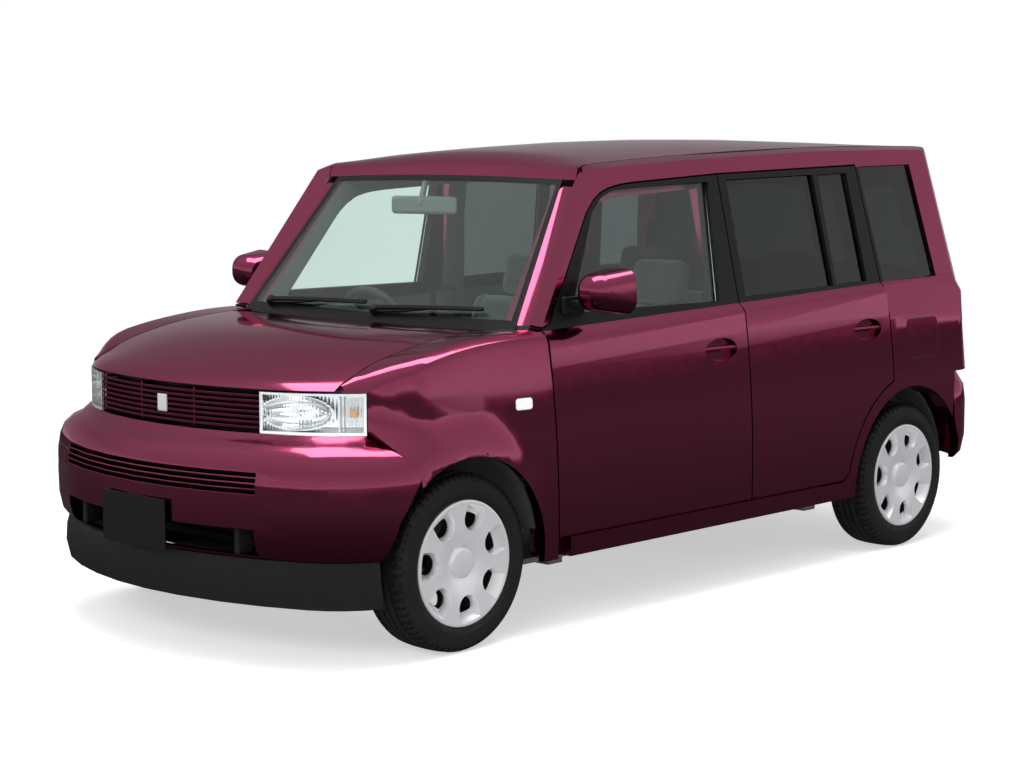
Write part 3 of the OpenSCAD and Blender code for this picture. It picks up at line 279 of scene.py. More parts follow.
def make_finishes(looks):
    """Every finish, from the node groups that they share."""
    for build in (effect_speckle, effect_grain, effect_dust, effect_weave):
        build()
    finish("plum_paint", looks.paint_dark, looks.paint_light, rough=(0.13, 0.16), scale=900.0, metallic=1.0,
           dust=0.03, Coat_Weight=0.6, Coat_Roughness=0.015, Coat_IOR=1.5,
           Specular_Tint=(0.85, 0.36, 0.52, 1.0))
    finish("black_frame", (0.004, 0.004, 0.005), (0.008, 0.008, 0.009), rough=(0.28, 0.36),
           Specular_IOR_Level=0.16)
    finish("black_moulding", (0.005, 0.005, 0.006), (0.010, 0.010, 0.011), rough=(0.50, 0.62), dust=0.02,
           Specular_IOR_Level=0.2, bump=("Moulded grain", 700.0, 0.25, 0.0008))
    finish("dash_moulding", (0.022, 0.023, 0.025), (0.034, 0.035, 0.038), rough=(0.55, 0.66),
           Specular_IOR_Level=0.25, bump=("Moulded grain", 500.0, 0.3, 0.001))
    finish("trim_moulding", (0.10, 0.10, 0.11), (0.14, 0.14, 0.15), rough=(0.6, 0.7),
           bump=("Moulded grain", 500.0, 0.3, 0.001))
    finish("headliner", (0.40, 0.40, 0.39), (0.50, 0.50, 0.49), rough=(0.85, 0.95), scale=420.0,
           bump=("Cloth weave", 420.0, 0.3, 0.0006))
    finish("seal_rubber", (0.007, 0.007, 0.007), (0.014, 0.014, 0.014), rough=(0.55, 0.7))
    finish("tyre_rubber", (0.004, 0.004, 0.004), (0.009, 0.009, 0.009), rough=(0.45, 0.6), scale=90.0,
           dust=0.03, Specular_IOR_Level=0.25, bump=("Moulded grain", 420.0, 0.2, 0.0008))
    finish("silver_cover", (0.76, 0.77, 0.79), (0.86, 0.87, 0.89), rough=(0.28, 0.36), scale=1200.0,
           metallic=0.60, dust=0.04, Coat_Weight=0.5)
    finish("bright_reflector", (0.78, 0.79, 0.80), (0.90, 0.91, 0.92), rough=(0.05, 0.10), metallic=1.0)
    finish("lamp_rim", (0.55, 0.56, 0.57), (0.66, 0.67, 0.68), rough=(0.18, 0.25), metallic=0.3)
    finish("amber_bulb", (0.60, 0.20, 0.02), (0.75, 0.28, 0.04), rough=(0.1, 0.2), Coat_Weight=0.6)
    finish("marker_white", (0.72, 0.72, 0.70), (0.86, 0.86, 0.84), rough=(0.12, 0.2), scale=160.0,
           Coat_Weight=0.8)
    finish("lamp_red", (0.30, 0.010, 0.012), (0.42, 0.018, 0.020), rough=(0.08, 0.16), scale=60.0,
           Coat_Weight=1.0)
    finish("plate_black", (0.004, 0.004, 0.004), (0.008, 0.008, 0.008), rough=(0.35, 0.45),
           Specular_IOR_Level=0.2)
    finish("coated_steel", (0.030, 0.030, 0.032), (0.055, 0.055, 0.058), rough=(0.5, 0.65), dust=0.35)
    finish("cast_metal", (0.16, 0.16, 0.165), (0.26, 0.26, 0.265), rough=(0.4, 0.55), metallic=0.8, dust=0.3)
    finish("seat_cloth", (0.055, 0.057, 0.060), (0.105, 0.107, 0.112), rough=(0.85, 0.95), scale=500.0,
           bump=("Cloth weave", 260.0, 0.5, 0.001), Sheen_Weight=0.4)
    finish("mirror_silver", (0.82, 0.83, 0.84), (0.90, 0.91, 0.92), rough=(0.01, 0.02), metallic=1.0)
    finish("belt_web", (0.05, 0.05, 0.05), (0.09, 0.09, 0.09), rough=(0.7, 0.8),
           bump=("Cloth weave", 500.0, 0.4, 0.0006))
    glass("clear_glass", (0.80, 0.91, 0.87))
    glass("dark_glass", (0.075, 0.088, 0.090))
    glass("lamp_lens", (0.96, 0.98, 0.98), ribs=(34.0, 0.30))


# Shaping helpers

def piece(name, bm, material, body, smooth=38.0, weighted=True):
    """Makes an object at the origin from a bmesh, gives it its finish and lets it ride on a body."""
    mesh = bpy.data.meshes.new(name)
    bm.to_mesh(mesh)
    bm.free()
    for item in material if isinstance(material, (list, tuple)) else [material]:
        mesh.materials.append(FINISHES[item])
    mesh.shade_smooth()
    mesh.set_sharp_from_angle(angle=math.radians(smooth))
    obj = bpy.data.objects.new(name, mesh)
    bpy.context.scene.collection.objects.link(obj)
    if weighted:
        obj.modifiers.new("Even normals", "WEIGHTED_NORMAL").keep_sharp = True
    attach(obj, body)
    return obj


def solid_copy(node):
    """The node's solid as one merged mesh, flat faces joined."""
    bm = bmesh.new()
    bm.from_mesh(NODES[node].data)
    bmesh.ops.remove_doubles(bm, verts=bm.verts, dist=2e-5)
    bmesh.ops.dissolve_limit(bm, angle_limit=0.004, verts=bm.verts, edges=bm.edges)
    return bm


def soften(bm, width, angle=32.0, segments=2):
    """Rounds every edge that is sharper than the angle."""
    limit = math.radians(angle)
    edges = [e for e in bm.edges
             if len(e.link_faces) == 2 and e.calc_face_angle() > limit and e.calc_length() > width * 0.6]
    bmesh.ops.bevel(bm, geom=edges, offset=width, offset_type="OFFSET", segments=segments, profile=0.5,
                    affect="EDGES", clamp_overlap=True, material=-1)
    return bm


def block(bm, size, place, turn=None):
    """One box with its size, place and turn added to a bmesh; gives its vertices."""
    spot = Matrix.Translation(Vector(place)) @ (turn.to_4x4() if turn else Matrix.Identity(4))
    made = bmesh.ops.create_cube(bm, size=1.0, matrix=spot @ Matrix.Diagonal(Vector(size).to_4d()))
    return made["verts"]


def rounded(size, place, radius, turn=None, segments=3):
    """A box with rounded edges as a bmesh of its own."""
    bm = bmesh.new()
    block(bm, size, place, turn)
    bmesh.ops.bevel(bm, geom=bm.edges[:], offset=radius, offset_type="OFFSET", segments=segments, profile=0.5,
                    affect="EDGES", clamp_overlap=True, material=-1)
    return bm


def revolve(profile, centre, axis, steps, closed=True):
    """A profile of (radius, offset) pairs spun about an axis through the centre."""
    bm = bmesh.new()
    axis = Vector(axis).normalized()
    side = axis.orthogonal().normalized()
    verts = [bm.verts.new(Vector(centre) + side * r + axis * o) for r, o in profile]
    ends = verts[1:] + verts[:1] if closed else verts[1:]
    edges = [bm.edges.new((a, b)) for a, b in zip(verts, ends)]
    bmesh.ops.spin(bm, geom=verts + edges, cent=centre, axis=axis, dvec=(0, 0, 0), angle=2 * math.pi,
                   steps=steps, use_merge=True, use_duplicate=False)
    bmesh.ops.remove_doubles(bm, verts=bm.verts, dist=1e-6)
    bmesh.ops.recalc_face_normals(bm, faces=bm.faces)
    return bm


def join(target, *others):
    """Adds other bmeshes to the first."""
    for other in others:
        spare = bpy.data.meshes.new("spare")
        other.to_mesh(spare)
        other.free()
        target.from_mesh(spare)
        bpy.data.meshes.remove(spare)
    return target


def seek(node):
    """A search tree over a node's surface."""
    bm = bmesh.new()
    bm.from_mesh(NODES[node].data)
    tree = BVHTree.FromBMesh(bm)
    bm.free()
    return tree


def body_of(node):
    """The body that carries a node."""
    return NODES[node]["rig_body"]


def dress(names, finish_name):
    """Gives carried-over solids their finish."""
    for name in names:
        data = NODES[name].data
        data.materials.clear()
        data.materials.append(FINISHES[finish_name])


def on_screen(t, k, lift=0.0):
    """A point of the windscreen: t across from -1 to 1, k up from the scuttle to the header."""
    x = AXLE_FRONT - 0.289 - 0.070 * t * t + (0.055 * t * t - 0.408) * k
    y = (SCREEN_HALF - SCREEN_TAPER * k) * t
    return Vector((x, y, SCUTTLE_Z + SCREEN_RISE * k)) + Vector((0.76, 0.12 * t, 0.64)) * lift


def edge_height(x):
    """Height of the roof's side edge at x."""
    fall = min(0.3, max(0.0, x - AXLE_FRONT + 0.77) ** 2 / 0.3)
    return 1.611 - 0.1202 * ((x - AXLE_REAR) / WHEELBASE) ** 2 - fall


def strip(columns, rows, place, thick):
    """A grid whose points go where place(u, v) says, given a thickness inward."""
    bm = bmesh.new()
    bmesh.ops.create_grid(bm, x_segments=columns, y_segments=rows, size=0.5)
    for vert in bm.verts:
        vert.co = place(vert.co.x + 0.5, vert.co.y + 0.5)
    bmesh.ops.recalc_face_normals(bm, faces=bm.faces)
    bmesh.ops.solidify(bm, geom=bm.faces[:], thickness=thick)
    bmesh.ops.recalc_face_normals(bm, faces=bm.faces)
    return bm


def patch(node, axis, low, high, lift, thick, corner=0.0, cells=(8, 6)):
    """A rounded tile laid on a node's outside, seen along X or along Y from the given side."""
    tree = seek(node)
    bm = bmesh.new()
    bmesh.ops.create_grid(bm, x_segments=cells[0], y_segments=cells[1], size=0.5)
    if corner:
        ends = [v for v in bm.verts if len(v.link_edges) == 2]
        size = Vector((abs(high[0] - low[0]), abs(high[1] - low[1]), 1.0))
        bmesh.ops.scale(bm, vec=size, verts=bm.verts)
        bmesh.ops.bevel(bm, geom=ends, offset=corner, segments=4, profile=0.5, affect="VERTICES", material=-1)
        bmesh.ops.scale(bm, vec=(1.0 / size.x, 1.0 / size.y, 1.0), verts=bm.verts)
    for vert in bm.verts:
        a = low[0] + (high[0] - low[0]) * (vert.co.x + 0.5)
        b = low[1] + (high[1] - low[1]) * (vert.co.y + 0.5)
        start = Vector((3.0, a, b)) if axis == "x" else Vector((a, 2.0 * axis, b))
        way = Vector((-1.0, 0.0, 0.0)) if axis == "x" else Vector((0.0, -axis, 0.0))
        spot, normal, index, far = tree.ray_cast(start, way)
        if spot is None:
            raise RuntimeError("no surface under a tile on " + node)
        vert.co = spot - way * lift
    bmesh.ops.recalc_face_normals(bm, faces=bm.faces)
    outward = Vector((1.0, 0.0, 0.0)) if axis == "x" else Vector((0.0, axis, 0.0))
    if sum((f.normal for f in bm.faces), Vector()).dot(outward) < 0:
        bmesh.ops.reverse_faces(bm, faces=bm.faces)
    bmesh.ops.solidify(bm, geom=bm.faces[:], thickness=thick)
    bmesh.ops.recalc_face_normals(bm, faces=bm.faces)
    return bm


def swell(obj, voxel, cap):
    """Blows a padded piece up a little as cloth over its foam and keeps the result."""
    scene = bpy.context.scene
    skin = obj.modifiers.new("Skin", "REMESH")
    skin.mode = "VOXEL"
    skin.voxel_size = voxel
    graph = bpy.context.evaluated_depsgraph_get()
    mesh = bpy.data.meshes.new_from_object(obj.evaluated_get(graph))
    obj.modifiers.clear()
    obj.data = mesh
    start = [v.co.copy() for v in mesh.vertices]
    cloth = obj.modifiers.new("Swell", "CLOTH")
    cloth.settings.use_pressure = True
    cloth.settings.uniform_pressure_force = 4.0
    cloth.settings.effector_weights.gravity = 0.0
    cloth.settings.quality = 3
    cloth.collision_settings.use_collision = False
    for step in range(1, 21):
        scene.frame_set(step)
    graph = bpy.context.evaluated_depsgraph_get()
    grown = obj.evaluated_get(graph).data
    moved = [v.co.copy() for v in grown.vertices]
    obj.modifiers.clear()
    for vert, old, new in zip(mesh.vertices, start, moved):
        shift = new - old
        vert.co = old + shift * min(1.0, cap / max(shift.length, 1e-6))
    scene.frame_set(1)


def pad(name, parts, middle, channels, looks, replaced=None):
    """A padded cloth piece from rounded blocks, with sewn channels at given distances from its middle."""
    bm = bmesh.new()
    for size, place, turn, radius in parts:
        join(bm, rounded([c - 0.6 * looks.seat_swell for c in size], place, radius, turn, 4))
    mesh = bpy.data.meshes.new(name)
    bm.to_mesh(mesh)
    bm.free()
    obj = bpy.data.objects.new(name, mesh)
    bpy.context.scene.collection.objects.link(obj)
    swell(obj, looks.pad_voxel * max(1.0, max(size[1] for size, *rest in parts) / 0.7), looks.seat_swell)
    mesh = obj.data
    for vert in mesh.vertices:
        away = min((abs(abs(vert.co.y - middle) - c) for c in channels), default=1.0)
        vert.co -= vert.normal * 0.007 * math.exp(-(away / 0.009) ** 2)
    mesh = obj.data
    mesh.materials.clear()
    mesh.materials.append(FINISHES["seat_cloth"])
    mesh.shade_smooth()
    smooth = obj.modifiers.new("Smooth", "SUBSURF")
    smooth.levels = smooth.render_levels = 1
    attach(obj, "body")
    if replaced:
        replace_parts(obj, replaced)
    return obj


# Pieces

PANELS = ("body_side_left", "body_side_right", "roof", "fender_left", "fender_right", "front_bumper",
          "rear_bumper", "hood", "tailgate")
DOORS = ("door_front_left", "door_front_right", "door_rear_left", "door_rear_right")
BELT_Z, BELT_RISE, BELT_MID = 1.042, math.tan(math.radians(1.9)), -0.0295


def belt(x):
    """Height of the window base at x."""
    return BELT_Z + (BELT_MID - x) * BELT_RISE


class MINIVAN_OT_panels(bpy.types.Operator):
    """Painted panels and doors with rounded edges"""

    bl_idname = "minivan.panels"
    bl_label = "Panels and doors"

    def execute(self, context):
        looks = context.scene.minivan_looks
        for node in PANELS:
            bm = soften(solid_copy(node), looks.edge_round)
            finishes = ["plum_paint", "trim_moulding", "black_frame"]
            if node == "roof":
                finishes[1] = "headliner"
            if node.startswith("body_side"):
                sign = 1 if node.endswith("left") else -1
                for spot, normal in (((PILLAR_X, 0, PILLAR_Z), (1.0, 0, -PILLAR_LEAN)),
                                     ((0, 0, belt(0)), (BELT_RISE, 0, 1.0)),
                                     ((AXLE_REAR, 0, PILLAR_TOP), (0.0277, 0, 1.0))):
                    bmesh.ops.bisect_plane(bm, geom=bm.verts[:] + bm.edges[:] + bm.faces[:], dist=1e-5,
                                           plane_co=spot, plane_no=Vector(normal).normalized())
            for face in bm.faces:
                spot, normal = face.calc_center_median(), face.normal
                inner = False
                if node.startswith("body_side"):
                    inner = normal.y * sign < -0.3 and abs(spot.y) < (0.825 if spot.z > 1.0 else 0.79)
                    inner = inner or (normal.x < -0.5 and spot.x > -1.2 and spot.z > belt(spot.x) + 0.02)
                    lean = spot.x - PILLAR_X - (spot.z - PILLAR_Z) * PILLAR_LEAN
                    if -0.001 < lean < PILLAR_WIDTH and belt(spot.x) < spot.z < PILLAR_TOP and not inner:
                        face.material_index = 2
                elif node == "roof":
                    inner = normal.z < -0.3 and abs(spot.y) < 0.63
                elif node == "tailgate":
                    inner = normal.x > 0.3 and spot.x > -1.78
                if inner:
                    face.material_index = 1
            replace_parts(piece(node + "_panel", bm, finishes, body_of(node)), node)
        for node in DOORS:
            bm = soften(solid_copy(node), looks.edge_round)
            bmesh.ops.bisect_plane(bm, geom=bm.verts[:] + bm.edges[:] + bm.faces[:], dist=1e-5,
                                   plane_co=(0, 0, belt(0) - 0.016),
                                   plane_no=Vector((BELT_RISE, 0, 1.0)).normalized())
            for face in bm.faces:
                spot = face.calc_center_median()
                outer = abs(spot.y) > 0.80
                if spot.z > belt(spot.x) - (0.002 if outer else 0.030):
                    face.material_index = 1
                elif abs(face.normal.y) > 0.5 and face.normal.y * spot.y < 0 and abs(spot.y) < 0.80:
                    face.material_index = 2
            finishes = ["plum_paint", "black_frame", "trim_moulding"]
            shell = piece(node + "_shell", bm, finishes, body_of(node))
            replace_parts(shell, node)
        for side, sign in SIDES:
            ditch = strip(60, 1, lambda u, v: Vector((0.50 - 2.08 * u, sign * (0.6363 + 0.0024 * v),
                                                      edge_height(0.50 - 2.08 * u) - 0.005)), 0.006)
            piece("roof_ditch_" + side, ditch, "seal_rubber", "body")
        lid = patch("body_side_left", 1, (-1.4480, 0.772), (-1.2350, 0.924), 0.0012, 0.004, corner=0.020)
        rim = patch("body_side_left", 1, (-1.4515, 0.7685), (-1.2315, 0.9275), 0.0004, 0.003, corner=0.023)
        piece("fuel_lid", lid, "plum_paint", "body")
        piece("fuel_lid_gap", rim, "seal_rubber", "body")
        return {"FINISHED"}


class MINIVAN_OT_glazing(bpy.types.Operator):
    """Windscreen with its dark border, and the side and rear windows"""

    bl_idname = "minivan.glazing"
    bl_label = "Glazing"

    def execute(self, context):
        looks = context.scene.minivan_looks
        columns, rows = 60, 28

        def place(u, v):
            t = 2.0 * u - 1.0
            top = (1.5112 - 0.012 * (0.579 * t / 0.636) ** 2 - SCUTTLE_Z) / SCREEN_RISE
            return on_screen(t * 0.9985, -0.045 + (top + 0.045) * v, 0.0004)

        screen = strip(columns, rows, place, 0.0055)
        edge_u, edge_v = looks.glass_border / 1.27, looks.glass_border / 0.62
        for face in screen.faces:
            spot = face.calc_center_median()
            k = (spot.z - SCUTTLE_Z) / SCREEN_RISE
            t = spot.y / (SCREEN_HALF - SCREEN_TAPER * k)
            if abs(t) > 1.0 - 2.0 * edge_u or k > 1.0 - edge_v or k < 0.02:
                face.material_index = 1
        finishes = ["clear_glass", "black_frame"]
        pane = piece("windscreen_glass", screen, finishes, "body", weighted=False)
        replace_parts(pane, "windscreen")
        dress(["door_front_glass_left", "door_front_glass_right"], "clear_glass")
        dress(["quarter_glass", "door_rear_glass_left", "door_rear_glass_right", "tailgate_glass"],
              "dark_glass")
        # Wipers at the base of the glass.
        blades = bmesh.new()
        for start, end in ((0.80, 0.10), (0.02, -0.78)):
            def blade(u, v):
                height = 0.075 - 0.03 * u + 0.020 * (v - 0.5)
                return on_screen(start + (end - start) * u, height, 0.013 + 0.004 * math.sin(math.pi * u))

            def arm(u, v):
                height = 0.036 + 0.026 * u * u + (0.036 - 0.014 * u) * (v - 0.5)
                return on_screen(end + (start - end) * 0.52 * u, height, 0.016 + 0.008 * u)

            join(blades, strip(24, 1, blade, 0.009), strip(16, 1, arm, 0.008))
            hub = [(0.0, 0.016), (0.015, 0.014), (0.019, 0.006), (0.019, -0.03), (0.0, -0.03)]
            join(blades, revolve(hub, on_screen(end, 0.036, 0.010), (0.6, 0.0, 0.8), 20, closed=False))
        piece("wipers", blades, "black_frame", "body")
        return {"FINISHED"}


class MINIVAN_OT_front(bpy.types.Operator):
    """Grille, bumper inlets and the bare plate"""

    bl_idname = "minivan.front"
    bl_label = "Grille and bumper"

    def execute(self, context):
        bm = soften(solid_copy("grille"), 0.002)
        centre = Vector((0.3465, 0.0, 0.0))
        for face in bm.faces:
            if (face.calc_center_median() - centre).to_2d().length < 1.400:
                face.material_index = 1
        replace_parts(piece("grille_bars", bm, ["plum_paint", "black_moulding"], "body"), "grille")
        lip = soften(solid_copy("front_lip"), 0.003)
        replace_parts(piece("lip", lip, "black_moulding", "body"), "front_lip")
        plate = rounded((0.006, 0.330, 0.165), (1.9165, 0.0, PLATE_Z), 0.002)
        join(plate, rounded((0.012, 0.300, 0.120), (1.9075, 0.0, PLATE_Z), 0.002))
        piece("number_plate", plate, "plate_black", "body")
        plaque = rounded((0.008, 0.046, 0.056), (1.7935, 0.0, 0.7955), 0.003)
        join(plaque, rounded((0.004, 0.036, 0.046), (1.7975, 0.0, 0.7955), 0.0015))
        piece("grille_plaque", plaque, "lamp_rim", "body")
        # Dark duct behind the bumper's openings, with its uprights.
        duct = rounded((0.012, 1.00, 0.35), (1.690, 0.0, 0.482), 0.004)
        join(duct, rounded((0.110, 0.88, 0.006), (1.745, 0.0, 0.347), 0.002))
        for y in (-0.405, 0.405):
            join(duct, rounded((0.060, 0.022, 0.086), (1.795, y, 0.398), 0.004))
        for z in (0.380, 0.415):
            join(duct, rounded((0.030, 0.94, 0.008), (1.715, 0.0, z), 0.003))
        piece("bumper_duct", duct, "black_moulding", "body")
        for side, sign in SIDES:
            low, high = sorted((sign * 0.520, sign * 0.712))
            tile = patch("front_bumper", "x", (low, 0.541), (high, 0.598), 0.0016, 0.004, corner=0.006)
            for row in range(3):
                for column in range(5):
                    y, z = sign * 0.612 - 0.020 + column * 0.0095, 0.556 + row * 0.011
                    far = y + 0.004, z + 0.004
                    join(tile, patch("front_bumper", "x", (y, z), far, 0.0026, 0.002, cells=(1, 1)))
            piece("bumper_tile_" + side, tile, "plum_paint", "body")
        return {"FINISHED"}


class MINIVAN_OT_lamps(bpy.types.Operator):
    """Headlamps, tail lamps and side markers"""

    bl_idname = "minivan.lamps"
    bl_label = "Lamps"

    def execute(self, context):
        dress(["headlamps"], "bright_reflector")
        dress(["headlamp_lenses"], "lamp_lens")
        dress(["tail_lamps"], "lamp_red")
        corner = Vector((1.1581, 0.2528, 0.7925))
        for side, sign in SIDES:
            flip = Matrix.Diagonal((1.0, sign, 1.0, 1.0))

            def around(angle, radius, height=0.0):
                return corner + Vector((math.cos(angle) * radius, math.sin(angle) * radius, height))

            # Main bowl, stretched along the lamp, with its bulb cap.
            aim = math.radians(27.5)
            axis = Vector((math.cos(aim), math.sin(aim), 0.0))
            along = Vector((-axis.y, axis.x, 0.0))
            middle = around(aim, 0.520)
            inside = [(0.006, 0.0), (0.020, 0.003), (0.034, 0.013), (0.046, 0.030), (0.052, 0.052)]
            outside = [(0.0555, 0.052), (0.049, 0.028), (0.036, 0.009), (0.020, -0.002), (0.006, -0.004)]
            bowl = revolve(inside + outside, middle, axis, 56)
            longer = Matrix([[along[i] * along[j] for j in range(3)] for i in range(3)])
            stretch = (Matrix.Translation(middle) @ (Matrix.Identity(3) + 1.25 * longer).to_4x4()
                       @ Matrix.Translation(-middle))
            bmesh.ops.transform(bowl, matrix=stretch, verts=bowl.verts)
            cap = [(0.0, 0.046), (0.008, 0.044), (0.012, 0.036), (0.012, 0.004), (0.0, 0.002)]
            join(bowl, revolve(cap, middle, axis, 24, closed=False))
            # Rim round the lens and the wall before the outer quarter.
            wall = math.radians(41.4)
            rim = rounded((0.046, 0.004, 0.112), around(wall, 0.565), 0.001, Matrix.Rotation(wall, 3, "Z"))
            for z in (-0.0605, 0.0605):
                def edge(u, v):
                    return around(math.radians(17.6 + 31.4 * u), 0.586 + 0.006 * v, z)

                join(rim, strip(40, 1, edge, 0.004))
            bulb = revolve([(0.0, 0.024), (0.010, 0.021), (0.015, 0.010), (0.015, -0.006), (0.008, -0.016),
                            (0.0, -0.016)], around(math.radians(45.6), 0.560), (0.7, 0.7, 0.0), 24,
                           closed=False)
            flutes = bmesh.new()
            for i in range(14):
                turn = math.radians(42.3 + i * 0.48)
                rod = [(0.0, 0.052), (0.0016, 0.052), (0.0016, -0.052), (0.0, -0.052)]
                join(flutes, revolve(rod, around(turn, 0.5905), (0, 0, 1), 8, closed=False))
            for name, bm, material, slot in (("lamp_bowl_", bowl, "bright_reflector", "reflector"),
                                             ("lamp_rim_", rim, "lamp_rim", "reflector"),
                                             ("lamp_bulb_", bulb, "amber_bulb", "lamp_red"),
                                             ("lamp_flutes_", flutes, "lamp_lens", "glass_clear")):
                bmesh.ops.transform(bm, matrix=flip, verts=bm.verts)
                bmesh.ops.recalc_face_normals(bm, faces=bm.faces)
                piece(name + side, bm, material, "body")
            x0, x1 = 0.938, 1.008
            fender = "fender_" + side
            base = patch(fender, sign, (x0 - 0.003, 0.764), (x1 + 0.003, 0.808), 0.001, 0.004, 0.012, (5, 3))
            lens = patch(fender, sign, (x0, 0.767), (x1, 0.805), 0.0055, 0.006, 0.010, (5, 3))
            piece("marker_base_" + side, base, "seal_rubber", "body")
            piece("marker_" + side, soften(lens, 0.002, 40.0, 2), "marker_white", "body")
        return {"FINISHED"}


class MINIVAN_OT_wheels(bpy.types.Operator):
    """Tyres with their tread and the wheel covers"""

    bl_idname = "minivan.wheels"
    bl_label = "Wheels and tyres"

    def execute(self, context):
        looks = context.scene.minivan_looks
        deep = TYRE_RADIUS - looks.groove_depth
        half = [(0.2920, 0.0), (0.2920, 0.009), (deep, 0.010), (deep, 0.017), (0.2918, 0.018), (0.2912, 0.040),
                (deep - 0.0005, 0.041), (deep - 0.0005, 0.048), (0.2902, 0.049), (0.2885, 0.066),
                (0.2840, 0.0760), (0.2740, 0.0825), (0.2640, 0.0868), (0.2630, 0.0880), (0.2400, 0.0920),
                (0.2250, 0.0915), (0.2240, 0.0900), (0.2120, 0.0880), (0.2060, 0.0840), (0.1930, 0.0735)]
        profile = [(r, -o) for r, o in half[:0:-1]] + half
        for end, x in (("front", AXLE_FRONT), ("rear", AXLE_REAR)):
            for side, sign in SIDES:
                name = "%s_%s" % (end, side)
                centre = Vector((x, HALF_TRACK * sign, TYRE_RADIUS))
                bm = revolve(profile, centre, (0, 1, 0), looks.tread_steps)
                shoulder = []
                for face in bm.faces:
                    spot = face.calc_center_median() - centre
                    reach = math.hypot(spot.x, spot.z)
                    step = int(math.degrees(math.atan2(spot.z, spot.x)) % 360 / 360 * looks.tread_steps)
                    if step % 2 == 0 and (reach > 0.2725 and abs(spot.y) > 0.050):
                        shoulder.append(face)
                bmesh.ops.inset_individual(bm, faces=shoulder, thickness=0.0012, depth=-0.004,
                                           use_even_offset=True)
                tread = piece("tread_" + name, bm, "tyre_rubber", "wheel_" + name)
                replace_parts(tread, "tyre_" + name)
                cover = soften(solid_copy("wheel_" + name), 0.0022, segments=2)
                # The steel wheel behind the cover's scoops is black.
                for face in cover.faces:
                    if (face.calc_center_median().y - centre.y) * sign < 0.057:
                        face.material_index = 1
                finishes = ["silver_cover", "black_moulding"]
                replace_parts(piece("cover_" + name, cover, finishes, "wheel_" + name), "wheel_" + name)
        return {"FINISHED"}


class MINIVAN_OT_mirrors(bpy.types.Operator):
    """Door mirrors on their black feet"""

    bl_idname = "minivan.mirrors"
    bl_label = "Door mirrors"

    def execute(self, context):
        # Corners: from the front axle, outward from the doors' widest line, height; rear face first.
        corners = ((-0.622, -0.035, 1.056), (-0.622, 0.152, 1.064), (-0.622, 0.146, 1.216),
                   (-0.622, -0.030, 1.208), (-0.468, 0.000, 1.082), (-0.468, 0.118, 1.088),
                   (-0.468, 0.110, 1.196), (-0.468, 0.004, 1.190))
        for side, sign in SIDES:
            bm = bmesh.new()
            bmesh.ops.create_cube(bm, size=2.0)
            order = {(-1, -1, -1): 0, (-1, 1, -1): 1, (-1, 1, 1): 2, (-1, -1, 1): 3,
                     (1, -1, -1): 4, (1, 1, -1): 5, (1, 1, 1): 6, (1, -1, 1): 7}
            for vert in bm.verts:
                dx, dy, z = corners[order[tuple(round(c) for c in vert.co)]]
                vert.co = (AXLE_FRONT + dx, sign * (HALF_WIDTH + dy), z)
            bm.normal_update()
            bmesh.ops.recalc_face_normals(bm, faces=bm.faces)
            rear = [f for f in bm.faces if f.normal.x < -0.9]
            front = [e for e in bm.edges if not any(f in rear for f in e.link_faces)]
            bmesh.ops.bevel(bm, geom=front, offset=0.046, segments=7, profile=0.5, affect="EDGES",
                            clamp_overlap=True, material=-1)
            bm.faces.ensure_lookup_table()
            rear = [f for f in bm.faces if f.normal.x < -0.9]
            bmesh.ops.inset_region(bm, faces=rear, thickness=0.010, depth=0.0, use_even_offset=True)
            bmesh.ops.inset_region(bm, faces=rear, thickness=0.002, depth=-0.006, use_even_offset=True)
            for face in rear:
                face.material_index = 1
            door, finishes = "door_front_" + side, ["plum_paint", "mirror_silver"]
            shell = piece("mirror_shell_" + side, soften(bm, 0.005, 50.0, 3), finishes, door,
                          smooth=50.0)
            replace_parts(shell, "mirror_" + side)
            stem = AXLE_FRONT - 0.535, sign * 0.832, 1.094
            plinth = AXLE_FRONT - 0.520, sign * 0.800, 1.090
            foot = rounded((0.070, 0.085, 0.030), stem, 0.010, segments=4)
            join(foot, rounded((0.105, 0.016, 0.060), plinth, 0.007, segments=3))
            piece("mirror_foot_" + side, foot, "black_frame", door)
        return {"FINISHED"}


